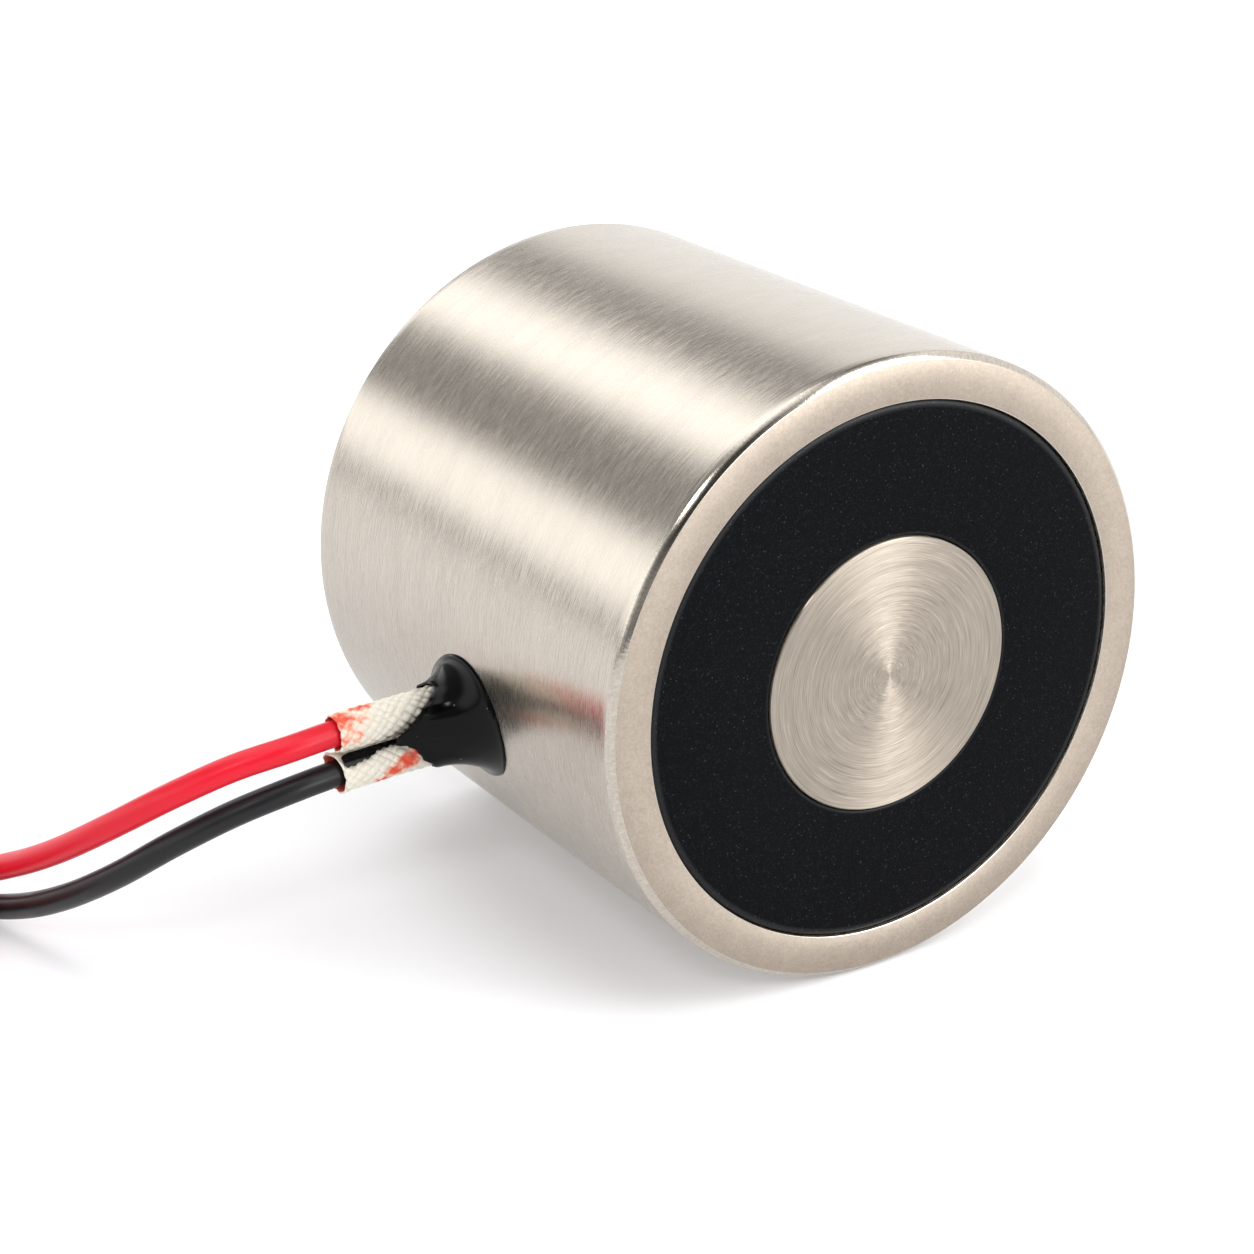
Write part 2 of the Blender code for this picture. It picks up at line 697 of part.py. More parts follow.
def make_tip(name, start_angle_of_coil, level):
    """A stripped and tinned end, which points into the coil from the end of its last turn."""
    angle = start_angle_of_coil + 2 * pi * COIL_TURNS + TIP_ADVANCE
    out = Vector((cos(angle), sin(angle), 0))
    along = Vector((-sin(angle), cos(angle), 0))
    start = coil_middle + out * (coil_inner - SEAT_GAP - TIP_DIAMETER / 2)
    start += upwards * level
    end = start + (along * cos(TIP_TURN) - out * sin(TIP_TURN)) * TIP_LENGTH
    tip = add_part(name, rod_mesh(name, start, end, TIP_DIAMETER / 2, SMALL_SIDES), solder)
    smooth(tip)


clear_scene()
parts = new_collection("holding_electromagnet")
cutters = new_collection("cutters")

steel = new_material("turned_steel", (0.56, 0.53, 0.49), 0.32, 1.0)
nylon = new_material("nylon", (0.72, 0.69, 0.60), 0.5)
copper = new_material("enamelled_copper", (0.60, 0.25, 0.09), 0.3, 1.0)
enamel = new_material("wire_enamel", (0.55, 0.20, 0.07), 0.25, 1.0)
polyester = new_material("polyester_tape", (0.80, 0.62, 0.14), 0.35)
epoxy = new_material("black_epoxy", (0.010, 0.011, 0.013), 0.5)
rubber = new_material("black_seal", (0.008, 0.008, 0.009), 0.25)
glass_fibre = new_material("glass_fibre_braid", (0.78, 0.74, 0.62), 0.7)
red_pvc = new_material("red_pvc", (0.68, 0.01, 0.02), 0.35)
black_pvc = new_material("black_pvc", (0.012, 0.012, 0.013), 0.35)
solder = new_material("tinned_solder", (0.70, 0.70, 0.70), 0.3, 1.0)

# The magnet's frame has Z up its axis to the pole face. The stub's frame has Z out of the sleeves.
magnet_frame = bpy.data.objects.new("magnet_frame", None)
parts.objects.link(magnet_frame)
magnet_frame.matrix_world = axes_matrix(
    Vector((0, 0, body_radius)), Vector((1, 0, 0)), upwards, front
)
stub_frame = bpy.data.objects.new("stub_frame", None)
parts.objects.link(stub_frame)
stub_frame.matrix_world = axes_matrix(stub_mouth, front, stub_up, stub_out)

# The start wire lies over the tape at this angle below the level of the axis
start_angle = asin((body_radius - sleeve_point(1, -sleeve_length).z) / wire_level)
start_out = Vector((-cos(start_angle), 0, -sin(start_angle)))
start_up = Vector((-sin(start_angle), 0, cos(start_angle)))
notch_level = -(bobbin_bottom + FLANGE_THICKNESS / 2)

make_cup(magnet_frame)
make_core(magnet_frame)
make_bobbin(magnet_frame)
make_winding(magnet_frame)
make_resin(magnet_frame)
make_start_wire()
make_finish_wire()
make_joint("red_solder_joint", 1)
make_joint("black_solder_joint", -1)
make_sleeve("red_sleeve", 1)
make_sleeve("black_sleeve", -1)
make_seal()
make_lead("red_lead", 1, RED_ROUTE, red_pvc)
make_lead("black_lead", -1, BLACK_ROUTE, black_pvc)
make_lead_coil()
make_tip("red_lead_tip", RED_COIL_START, LEAD_DIAMETER * 3 / 2 + COIL_SLACK)
make_tip("black_lead_tip", BLACK_COIL_START, lead_radius)
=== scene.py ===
"""Blender add-on that dresses a round holding electromagnet, lying on its side on a white studio floor.

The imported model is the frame. Everything is in metres with Z up. The axis of the magnet runs along Y,
with the pole face at -Y, and the leads leave towards -X.
"""

from math import atan2, cos, hypot, pi, radians, sin, sqrt

import bmesh
import bpy
from mathutils import Matrix, Vector
from mathutils.geometry import interpolate_bezier


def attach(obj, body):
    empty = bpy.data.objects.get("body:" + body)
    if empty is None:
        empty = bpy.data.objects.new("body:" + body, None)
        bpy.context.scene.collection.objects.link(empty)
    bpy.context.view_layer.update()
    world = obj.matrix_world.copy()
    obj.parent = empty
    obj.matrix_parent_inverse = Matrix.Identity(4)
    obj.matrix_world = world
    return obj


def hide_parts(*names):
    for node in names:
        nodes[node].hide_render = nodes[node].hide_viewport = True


bl_info = {
    "name": "Holding Electromagnet",
    "version": (1, 0),
    "blender": (4, 5, 0),
    "location": "View3D > Sidebar > Electromagnet",
    "description": "Builds the pieces, finishes and studio of a round holding electromagnet",
    "category": "Add Mesh",
}

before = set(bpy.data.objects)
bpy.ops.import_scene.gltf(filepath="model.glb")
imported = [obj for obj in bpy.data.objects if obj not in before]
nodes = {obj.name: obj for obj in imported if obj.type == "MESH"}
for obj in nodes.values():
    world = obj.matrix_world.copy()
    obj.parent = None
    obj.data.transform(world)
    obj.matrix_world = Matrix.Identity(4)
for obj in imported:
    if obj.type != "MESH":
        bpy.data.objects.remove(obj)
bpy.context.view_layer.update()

# Tables of places that are in millimetres are turned to metres with this
MM = 0.001

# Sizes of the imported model, in metres
BODY_RADIUS = 0.030
HALF_LENGTH = 0.0275
RIM_WIDTH = 0.0043
BORE_RADIUS = BODY_RADIUS - RIM_WIDTH
CORE_RADIUS = 0.0131
CORE_SHOULDER = -0.0192
SPIGOT_RADIUS = 0.0099
PRESS_GAP = 0.00015
CUP_FLOOR = -0.0195
LEAD_RADIUS = 0.00125
# The tapped mounting hole: its drill's radius, its depth with and without the point, and its countersink
TAPPING_RADIUS = 0.0034
TAPPED_DEPTH = 0.012
DRILLED_DEPTH = 0.014
COUNTERSINK = 0.0008
# The drawn resin: how far it lies below the poles, its gap to them, and the levels and radii of its
# jacket. The solid lies 0.05 mm lower with gaps of 0.15 mm, and its hollow ends 4.9 mm lower inside
RESIN_RECESS = 0.0002
RESIN_GAP = 0.00007
RESIN_CEILING = 0.0242
FLANGE_RADIUS = 0.0243
FLANGE_UNDERSIDE = 0.0223
WINDING_RADIUS = 0.0219
BASE_FLANGE_TOP = -0.0176
# Cutters run past what they cut by this much
OVERRUN = 0.002

# The cup's chamfer, cut a little deeper than on the solid, as the photograph shows it
EDGE_CHAMFER = 0.00062

# The stub of two sleeves: the middle of its mouths, its directions, and each sleeve's place and size
STUB_MOUTH = Vector((-0.04301, -0.00125, 0.02265))
STUB_DIP = radians(2.5)
STUB_OUT = Vector((-cos(STUB_DIP), 0, -sin(STUB_DIP)))
STUB_UP = Vector((-sin(STUB_DIP), 0, cos(STUB_DIP)))
FRONT = Vector((0, -1, 0))
SLEEVE_SIDE = 0.002
SLEEVE_RADIUS = 0.0019
SLEEVE_BORE = 0.00155
SLEEVE_SHOWN = 0.0104
SLEEVE_LENGTH = 0.01865
LEAD_START = -0.01305

# The lead hole in the cup's side
HOLE_ANGLE = radians(13.9)
HOLE_OFFSET = -0.00125
HOLE_RADIUS = 0.0063
HOLE_FLARE = 0.0003
HOLE_OUT = Vector((-cos(HOLE_ANGLE), 0, -sin(HOLE_ANGLE)))
HOLE_UP = Vector((-sin(HOLE_ANGLE), 0, cos(HOLE_ANGLE)))
HOLE_MIDDLE = Vector((0, HOLE_OFFSET, BODY_RADIUS))
# It is filed out by hand, a little wider towards the front and the top: waves round it, by their number,
# height and place in degrees
FILED_WAVES = ((1, 0.00012, 60), (2, 0.0004, 84))

# The seal that fills the hole: its gap and skin round the sleeves
SEAL_GAP = 0.00012
SEAL_SKIN = 0.00022
# The edge of the seal on the sleeves, in millimetres: height over the stub's middle, and how far along.
# Behind the sleeves, it ends evenly
SEAL_EDGE = [
    (-4.6, -10.4), (-4.1, -10.1), (-3.2, -9.1), (-2.0, -8.0), (-1.1, -7.5), (-0.3, -6.6), (0.1, -5.4),
    (0.7, -5.5), (1.5, -6.8), (2.1, -7.6), (2.8, -8.4), (3.4, -9.5), (4.1, -10.7), (4.6, -10.9),
]
SEAL_BACK = -9.7

# The yarns' distance along a sleeve, how deep its cut mouth frays, and how far the painted shade reaches
# from the seal's edge
YARN_PITCH = 0.00112
FRAY_DEPTH = 0.0016
SEAL_SHADE_REACH = 0.0026
# Orange stains on the upper (1) and the lower (-1) sleeve, in millimetres: the place across, up and
# along from the middle of the mouths, the radius with how far it is drawn out, and how strong it is
STAINS = {
    1: (
        ((0.7, 3.5, -0.6), (1.7, 1.2), 1.0), ((-0.2, 3.9, -2.9), (1.0, 2.1), 0.95),
        ((1.2, 3.2, -2.2), (1.3, 1.8), 0.35), ((1.8, 2.0, -1.0), (1.8, 1.5), 0.42),
    ),
    -1: (
        ((1.36, -3.33, -4.0), (0.85, 1.5), 0.85), ((1.8, -2.6, -5.2), (1.05, 1.4), 1.05),
        ((1.9, -1.9, -6.6), (1.2, 1.3), 1.25), ((1.7, -1.2, -7.8), (1.0, 1.3), 1.1),
        ((-0.9, -3.2, 0.0), (1.5, 0.5), 1.5),
    ),
}

# Free route of each lead from its sleeve to the coil, in millimetres. These are the points of the part's
# source, but for the last one, which lies nearer the sleeve there, as its coil is one ring
RED_ROUTE = [
    (-47.5, -1.2, 24.2), (-52.2, 0.1, 23.1), (-57.1, 2.6, 20.7), (-61.3, 6.8, 17.1),
    (-64.6, 13.3, 12.5), (-66.8, 21.0, 8.2), (-68.6, 29.0, 4.7),
]
BLACK_ROUTE = [
    (-47.4, -1.15, 20.1), (-52.5, 0.1, 18.6), (-57.3, 2.6, 15.9), (-61.4, 6.9, 11.9),
    (-64.6, 13.9, 7.2), (-66.8, 22.0, 3.3), (-67.9, 25.6, 2.1),
]
# The coil: its middle, the radius of its outer turn, the turns' distance and number, the angle in radians
# where each lead comes in, and the height of the red lead's turns, which lie on the black one's
COIL_CENTRE = Vector((-0.0854, 0.0315, 0))
COIL_RADIUS = 0.0164
COIL_PITCH = 0.0027
COIL_TURNS = 2.3
COIL_POINTS_A_TURN = 14
RED_COIL_START = 0.22
BLACK_COIL_START = 0.02
RED_LEVEL = 0.00385
# The tie's place round the coil, and how much further in the leads lie there
TIE_ANGLE = radians(200)
TIE_SLACK = 0.0012
# Where each bare tip starts and ends, in millimetres
TIPS = {
    "red": ((-91.894, 27.36, 3.85), (-93.204, 33.215, 3.85)),
    "black": ((-92.587, 28.732, 1.25), (-92.708, 34.731, 1.25)),
}
TIP_RADIUS = 0.00064
# How the end of each lead turns in from the last turn: further angle, and radius less than the last
COIL_END = ((18, 0.0006), (34, 0.0015), (45, 0.0023))

# The photograph's camera: its lens for a picture 36 mm wide, its place, and how far it looks down and
# to the right
CAMERA_LENS = 77.912
CAMERA_PLACE = (-0.14104, -0.20444, 0.12743)
CAMERA_DIP = radians(22.389)
CAMERA_TURN = radians(32.535)

# Faces round a turned piece, points round the lead hole and the seal, and the angle past which an edge
# stays sharp
TURNED_SIDES = 288
HOLE_SIDES = 128
SEAL_SIDES = 200
SHARP_ANGLE = radians(28)

# The magnet's own frame has Z up its axis, to the pole face
MAGNET_FRAME = Matrix(((1, 0, 0, 0), (0, 0, -1, 0), (0, 1, 0, BODY_RADIUS), (0, 0, 0, 1)))


def linear(hex_colour):
    """Turns an sRGB hex value into the linear colour that a shader takes."""
    shares = [int(hex_colour[i : i + 2], 16) / 255 for i in (0, 2, 4)]
    return [s / 12.92 if s <= 0.04045 else ((s + 0.055) / 1.055) ** 2.4 for s in shares]


def add_node(tree, kind, inputs=(), **settings):
    """Adds a shader node with its settings. An input is a value, or the node or socket that feeds it."""
    made = tree.nodes.new("ShaderNode" + kind)
    for name, value in settings.items():
        setattr(made, name, value)
    for key, value in dict(inputs).items():
        if isinstance(value, bpy.types.Node):
            value = value.outputs[0]
        if isinstance(value, bpy.types.NodeSocket):
            tree.links.new(value, made.inputs[key])
        elif isinstance(value, str):
            made.inputs[key].default_value = (*linear(value), 1)
        else:
            made.inputs[key].default_value = value
    return made


def new_finish(name, colour, roughness, metallic=0.0, **sockets):
    """A new material with its shader. Sockets are named with underscores for spaces."""
    finish = bpy.data.materials.new(name)
    finish.use_nodes = True
    shader = finish.node_tree.nodes["Principled BSDF"]
    shader.inputs["Base Color"].default_value = (*colour, 1)
    shader.inputs["Roughness"].default_value = roughness
    shader.inputs["Metallic"].default_value = metallic
    for key, value in sockets.items():
        shader.inputs[key.replace("_", " ")].default_value = value
    return finish, finish.node_tree, shader


def feed(shader, colour=None, roughness=None, bump=None, **sources):
    """Links the nodes or sockets that drive a shader's inputs, named as in new_finish."""
    sources.update(Base_Color=colour, Roughness=roughness, Normal=bump)
    for key, source in sources.items():
        if isinstance(source, bpy.types.Node):
            source = source.outputs[0]
        if source is not None:
            shader.id_data.links.new(source, shader.inputs[key.replace("_", " ")])


def add_piece(name, mesh, slot, *finishes):
    """Turns a bmesh or a data-block into a piece of the magnet, with its finishes."""
    data = mesh
    if isinstance(mesh, bmesh.types.BMesh):
        data = bpy.data.meshes.new(name)
        mesh.to_mesh(data)
        mesh.free()
    piece = bpy.data.objects.new(name, data)
    bpy.context.scene.collection.objects.link(piece)
    for finish in finishes:
        data.materials.append(finish)
    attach(piece, "root")
    return piece


def shade(piece, angle=SHARP_ANGLE):
    piece.data.shade_smooth()
    piece.data.set_sharp_from_angle(angle=angle)
    return piece


def cut(piece, cutters):
    """Takes each cutter out of a piece, or adds it, and removes the cutter."""
    for mesh, operation in cutters:
        data = bpy.data.meshes.new("cutter")
        mesh.to_mesh(data)
        mesh.free()
        cutter = bpy.data.objects.new("cutter", data)
        bpy.context.scene.collection.objects.link(cutter)
        boolean = piece.modifiers.new("cut", "BOOLEAN")
        boolean.operation = operation
        boolean.solver = "EXACT"
        boolean.object = cutter
        graph = bpy.context.evaluated_depsgraph_get()
        done = bpy.data.meshes.new_from_object(piece.evaluated_get(graph))
        piece.modifiers.clear()
        piece.data = done
        bpy.data.objects.remove(cutter)
    return piece


def turned(profile, sides, matrix, closed=True):
    """A piece turned round Z from pairs of radius and height, then put in its place."""
    mesh = bmesh.new()
    corners = [mesh.verts.new((radius, 0, height)) for radius, height in profile]
    ring = [mesh.edges.new(pair) for pair in zip(corners, corners[1:])]
    if closed:
        ring.append(mesh.edges.new((corners[-1], corners[0])))
    bmesh.ops.spin(
        mesh, geom=corners + ring, cent=(0, 0, 0), axis=(0, 0, 1), angle=2 * pi, steps=sides,
        use_merge=True,
    )
    bmesh.ops.remove_doubles(mesh, verts=mesh.verts, dist=1e-7)
    bmesh.ops.recalc_face_normals(mesh, faces=mesh.faces)
    bmesh.ops.transform(mesh, matrix=matrix, verts=mesh.verts)
    return mesh


def lay_turning_marks(piece, centre):
    """Unwraps a turned piece: first across the tool's marks, as they spread the light, then along them."""
    mesh = bmesh.new()
    mesh.from_mesh(piece.data)
    layer = mesh.loops.layers.uv.new("turning")
    for face in mesh.faces:
        middle = face.calc_center_median() - centre
        middle_angle = atan2(middle.x, middle.z)
        on_end = abs(face.normal.y) > 0.7
        for loop in face.loops:
            place = loop.vert.co - centre
            radius = hypot(place.x, place.z)
            step = atan2(place.x, place.z) - middle_angle if radius > 1e-6 else 0
            angle = middle_angle + (step + pi) % (2 * pi) - pi
            loop[layer].uv = (radius if on_end else place.y, angle * BODY_RADIUS)
    mesh.to_mesh(piece.data)
    mesh.free()
    return piece


def bridge(rings, caps=True):
    """A skin over rings of as many points each, with an end at the first and the last."""
    mesh = bmesh.new()
    loops = []
    for ring in rings:
        corners = [mesh.verts.new(point) for point in ring]
        loops.append([mesh.edges.new(pair) for pair in zip(corners, corners[1:] + corners[:1])])
    for lower, upper in zip(loops, loops[1:]):
        bmesh.ops.bridge_loops(mesh, edges=lower + upper)
    if caps:
        for ends in (loops[0], loops[-1]):
            bmesh.ops.triangle_fill(mesh, edges=ends, use_beauty=True)
    bmesh.ops.recalc_face_normals(mesh, faces=mesh.faces)
    return mesh


def rod(start, end, radius, sides):
    mesh = bmesh.new()
    facing = (end - start).to_track_quat("Z", "Y").to_matrix().to_4x4()
    bmesh.ops.create_cone(
        mesh, cap_ends=True, segments=sides, radius1=radius, radius2=radius,
        depth=(end - start).length, matrix=Matrix.Translation((start + end) / 2) @ facing,
    )
    return mesh


def smooth_line(points, steps):
    """Points along a smooth curve through the given ones."""
    spans = [(after - before).length for before, after in zip(points, points[1:])]
    slopes = [(points[1] - points[0]) / spans[0]]
    for i in range(1, len(points) - 1):
        before = (points[i] - points[i - 1]) / spans[i - 1]
        after = (points[i + 1] - points[i]) / spans[i]
        slopes.append((before * spans[i] + after * spans[i - 1]) / (spans[i - 1] + spans[i]))
    slopes.append((points[-1] - points[-2]) / spans[-1])
    line = []
    for i, span in enumerate(spans):
        handles = (points[i] + slopes[i] * span / 3, points[i + 1] - slopes[i + 1] * span / 3)
        line += interpolate_bezier(points[i], *handles, points[i + 1], steps + 1)[:-1]
    return line + [points[-1]]


def on_stub(across, up, along):
    """A point given across, up and along the stub, from the middle of the sleeve mouths outwards."""
    return STUB_MOUTH + FRONT * across + STUB_UP * up + STUB_OUT * along


def hole_ring(radius, lift, count, out=None):
    """A ring round the lead hole that stays one height over the cup's side, or flat at a distance out."""
    ring = []
    for i in range(count):
        angle = 2 * pi * i / count
        filed = sum(high * cos(number * angle - radians(at)) for number, high, at in FILED_WAVES)
        up = (radius + filed) * sin(angle)
        across = (radius + filed) * cos(angle)
        away = sqrt(BODY_RADIUS**2 - up**2) + lift if out is None else out
        ring.append(HOLE_MIDDLE + FRONT * across + HOLE_UP * up + HOLE_OUT * away)
    return ring


def stadium_points(radius, count):
    """Even steps round both sleeves, across and up the stub: two half circles and two straight sides."""
    quarter = SLEEVE_SIDE + pi * radius / 2
    points = []
    for step in range(count):
        lap, rest = divmod(step, count // 4)
        way = quarter * (count // 4 - rest if lap % 2 else rest) / (count // 4)
        across, up = radius, way
        if way > SLEEVE_SIDE:
            angle = (way - SLEEVE_SIDE) / radius
            across, up = radius * cos(angle), SLEEVE_SIDE + radius * sin(angle)
        points.append((-across if lap in (1, 2) else across, -up if lap >= 2 else up))
    return points


def seal_lip(across, up):
    """How far along the stub the seal reaches, from its uneven front edge to its even back."""
    millimetres = up / MM
    for (low, reach), (high, reach_after) in zip(SEAL_EDGE, SEAL_EDGE[1:]):
        if low <= millimetres <= high:
            share = (millimetres - low) / (high - low)
            along = reach + (reach_after - reach) * share * share * (3 - 2 * share)
    behind = max(0, min(1, -across / SLEEVE_RADIUS * 2.2))
    return (along + behind * (min(along, SEAL_BACK) - along)) * MM


def lead_route(side, route, coil_start, level):
    """The line of a whole lead: out of its sleeve, along its free route and round the coil."""
    points = [on_stub(0, side * SLEEVE_SIDE, LEAD_START * share) for share in (1, 2 / 3, 1 / 3, 0)]
    points += [Vector(point) * MM for point in route]
    steps = round(COIL_POINTS_A_TURN * COIL_TURNS)
    for i in range(steps + 1):
        turn = coil_start + 2 * pi * COIL_TURNS * i / steps
        radius = COIL_RADIUS - COIL_PITCH * turn / (2 * pi)
        points.append(COIL_CENTRE + Vector((radius * cos(turn), radius * sin(turn), level)))
    for further, inward in COIL_END:
        angle = turn + radians(further)
        points.append(
            COIL_CENTRE
            + Vector(((radius - inward) * cos(angle), (radius - inward) * sin(angle), level))
        )
    return points


def colour_setting(name, description, hex_colour):
    """A colour that a user can change in the sidebar."""
    return bpy.props.FloatVectorProperty(
        name=name, description=description, subtype="COLOR", default=linear(hex_colour), min=0, max=1,
    )


class MagnetColours(bpy.types.PropertyGroup):
    """Colours of the pieces"""

    steel: colour_setting("Plated steel", "Colour of the turned steel", "C0B8AD")
    resin: colour_setting("Cast resin", "Colour of the resin ring", "090A0C")
    seal: colour_setting("Seal", "Colour of the seal at the leads", "050506")
    braid: colour_setting("Glass-fibre braid", "Colour of the two sleeves", "F1ECDE")
    red: colour_setting("Red lead", "Colour of the red insulation", "CF1429")
    black: colour_setting("Black lead", "Colour of the black insulation", "141416")


class MagnetSizes(bpy.types.PropertyGroup):
    """Sizes of the fine forms"""

    chamfer: bpy.props.FloatProperty(
        name="Cup edge", description="Chamfer on both edges of the cup", unit="LENGTH",
        default=EDGE_CHAMFER, min=0.0002, max=0.002,
    )
    braid_height: bpy.props.FloatProperty(
        name="Braid height", description="How far the braid's plaits stand up", unit="LENGTH",
        default=0.00019, min=0.0, max=0.0002,
    )
    plaits: bpy.props.IntProperty(
        name="Plaits", description="Plaits round one sleeve", default=11, min=8, max=24,
    )


def mottle(tree, pattern, low, high, colour):
    """Turns a pattern into a tint of the colour, from the share low to the share high."""
    tint = add_node(tree, "MapRange", {0: pattern, 1: 0.3, 2: 0.7, 3: low, 4: high})
    return add_node(tree, "VectorMath", {0: colour, "Scale": tint}, operation="SCALE")


def marks(tree, across, along, detail=2.0):
    """Noise in tool marks round a turned piece, of some millimetres wide and, at the cup's side, long."""
    place = add_node(tree, "TexCoord").outputs["Object"]
    flat = add_node(
        tree, "Mapping", {0: place, "Location": (0, 0, -BODY_RADIUS), "Scale": (1, 0, 1)}
    )
    way = add_node(tree, "VectorMath", {0: flat}, operation="NORMALIZE")
    way = add_node(
        tree, "VectorMath", {0: way, "Scale": BODY_RADIUS * 1000 / along}, operation="SCALE"
    )
    step = add_node(tree, "SeparateXYZ", {0: add_node(tree, "UVMap", uv_map="turning")})
    step = add_node(tree, "CombineXYZ", {1: step.outputs[0]})
    place = add_node(
        tree, "VectorMath", {0: step, 1: (0, 1000 / across, 0), 2: way}, operation="MULTIPLY_ADD"
    )
    return add_node(tree, "TexNoise", {"Vector": place, "Scale": 1.0, "Detail": detail})


def build_steel_side(colour):
    """Nickel-plated turned steel, satin-brushed along the turning: fine short scratches, soft bands."""
    finish, tree, shader = new_finish("nickel plated brushed steel", colour, 0.27, 1.0)
    shader.inputs["Anisotropic"].default_value = 0.45
    # Scratches 0.09 mm wide and 1.5 mm long, a few wider ones 8 mm long, and 0.15 mm grain
    fine = marks(tree, 0.09, 1.5)
    long = marks(tree, 0.11, 8.0)
    grain = marks(tree, 0.15, 0.3)
    clouds = marks(tree, 2.2, 5.0, 3.0)
    rare = add_node(tree, "MapRange", {0: long, 1: 0.58, 2: 0.66, 3: 0.0, 4: 0.6})
    both = add_node(tree, "Math", {0: fine, 1: rare}, operation="ADD")
    grains = add_node(tree, "Math", {0: grain, 1: 0.5}, operation="MULTIPLY")
    height = add_node(tree, "Math", {0: both, 1: grains}, operation="ADD")
    tinted = mottle(tree, fine, 0.82, 1.04, tuple(colour))
    tinted = mottle(tree, long, 0.93, 1.05, tinted)
    tinted = mottle(tree, clouds, 0.94, 1.0, tinted)
    rough = add_node(tree, "MapRange", {0: fine, 1: 0.3, 2: 0.7, 3: 0.2, 4: 0.32})
    bump = add_node(tree, "Bump", {"Height": height, "Distance": 0.00001, "Strength": 0.45})
    along = add_node(tree, "Tangent", direction_type="UV_MAP", uv_map="turning")
    feed(shader, colour=tinted, roughness=rough, bump=bump, Tangent=along)
    return finish


def build_cut_edge(colour):
    """The chamfer, cut last with a sharp tool: smoother than the side, so it mirrors more."""
    finish, tree, shader = new_finish("nickel plated cut edge", colour, 0.16, 1.0)
    lines = marks(tree, 0.08, 8.0)
    # Chatter of the tool, 0.25 mm apart
    chatter = marks(tree, 0.3, 0.25)
    tinted = mottle(tree, lines, 0.9, 1.0, tuple(colour))
    tinted = mottle(tree, chatter, 0.8, 1.02, tinted)
    rough = add_node(tree, "MapRange", {0: lines, 1: 0.3, 2: 0.7, 3: 0.13, 4: 0.2})
    bump = add_node(tree, "Bump", {"Height": chatter, "Distance": 0.00001, "Strength": 0.5})
    feed(shader, colour=tinted, roughness=rough, bump=bump)
    return finish


def build_ground_face(colour):
    """The same plating on a ground face: matt and warmer, with a fine grain and faint hairlines."""
    finish, tree, shader = new_finish("nickel plated ground steel", colour, 0.5, 1.0)
    place = add_node(tree, "TexCoord").outputs["Object"]
    # Grain of about 0.2 mm under patches of 2 mm
    grain = add_node(
        tree, "TexNoise", {"Vector": place, "Scale": 5000.0, "Detail": 2.0, "Roughness": 0.7}
    )
    patches = add_node(tree, "TexNoise", {"Vector": place, "Scale": 500.0, "Detail": 4.0})
    hair = marks(tree, 0.4, 0.9)
    warm = [share * warmth for share, warmth in zip(colour, (0.82, 0.773, 0.736))]
    tinted = mottle(tree, grain, 0.8, 1.0, tuple(warm))
    tinted = mottle(tree, patches, 0.93, 1.0, tinted)
    tinted = mottle(tree, hair, 0.94, 1.0, tinted)
    bump = add_node(tree, "Bump", {"Height": grain, "Distance": 0.00001, "Strength": 0.4})
    feed(shader, colour=tinted, bump=bump)
    return finish


def build_turned_face(colour):
    """Facing cuts round the core's end: rings that throw the light into a bow-tie."""
    colour = [share * warmth for share, warmth in zip(colour, (0.778, 0.752, 0.719))]
    finish, tree, shader = new_finish("nickel plated faced steel", colour, 0.33, 1.0)
    shader.inputs["Anisotropic"].default_value = 0.9
    # Cuts that run most of the way round, finer short ones between them, and a few crisp hairlines
    cuts = marks(tree, 0.085, 60.0)
    short = marks(tree, 0.08, 9.0)
    hair = marks(tree, 0.14, 16.0)
    both = add_node(tree, "Math", {0: cuts, 1: short}, operation="ADD")
    height = add_node(tree, "Math", {0: both, 1: 0.5}, operation="MULTIPLY")
    tinted = mottle(tree, cuts, 0.82, 1.04, tuple(colour))
    tinted = mottle(tree, short, 0.76, 1.08, tinted)
    line = add_node(tree, "MapRange", {0: hair, 1: 0.63, 2: 0.68, 3: 1.0, 4: 1.3})
    tinted = add_node(tree, "VectorMath", {0: tinted, "Scale": line}, operation="SCALE")
    line = add_node(tree, "MapRange", {0: hair, 1: 0.32, 2: 0.37, 3: 0.74, 4: 1.0})
    tinted = add_node(tree, "VectorMath", {0: tinted, "Scale": line}, operation="SCALE")
    rough = add_node(tree, "MapRange", {0: cuts, 1: 0.3, 2: 0.7, 3: 0.28, 4: 0.38})
    bump = add_node(tree, "Bump", {"Height": height, "Distance": 0.00001, "Strength": 0.55})
    along = add_node(tree, "Tangent", direction_type="UV_MAP", uv_map="turning")
    feed(shader, colour=tinted, roughness=rough, bump=bump, Tangent=along)
    return finish


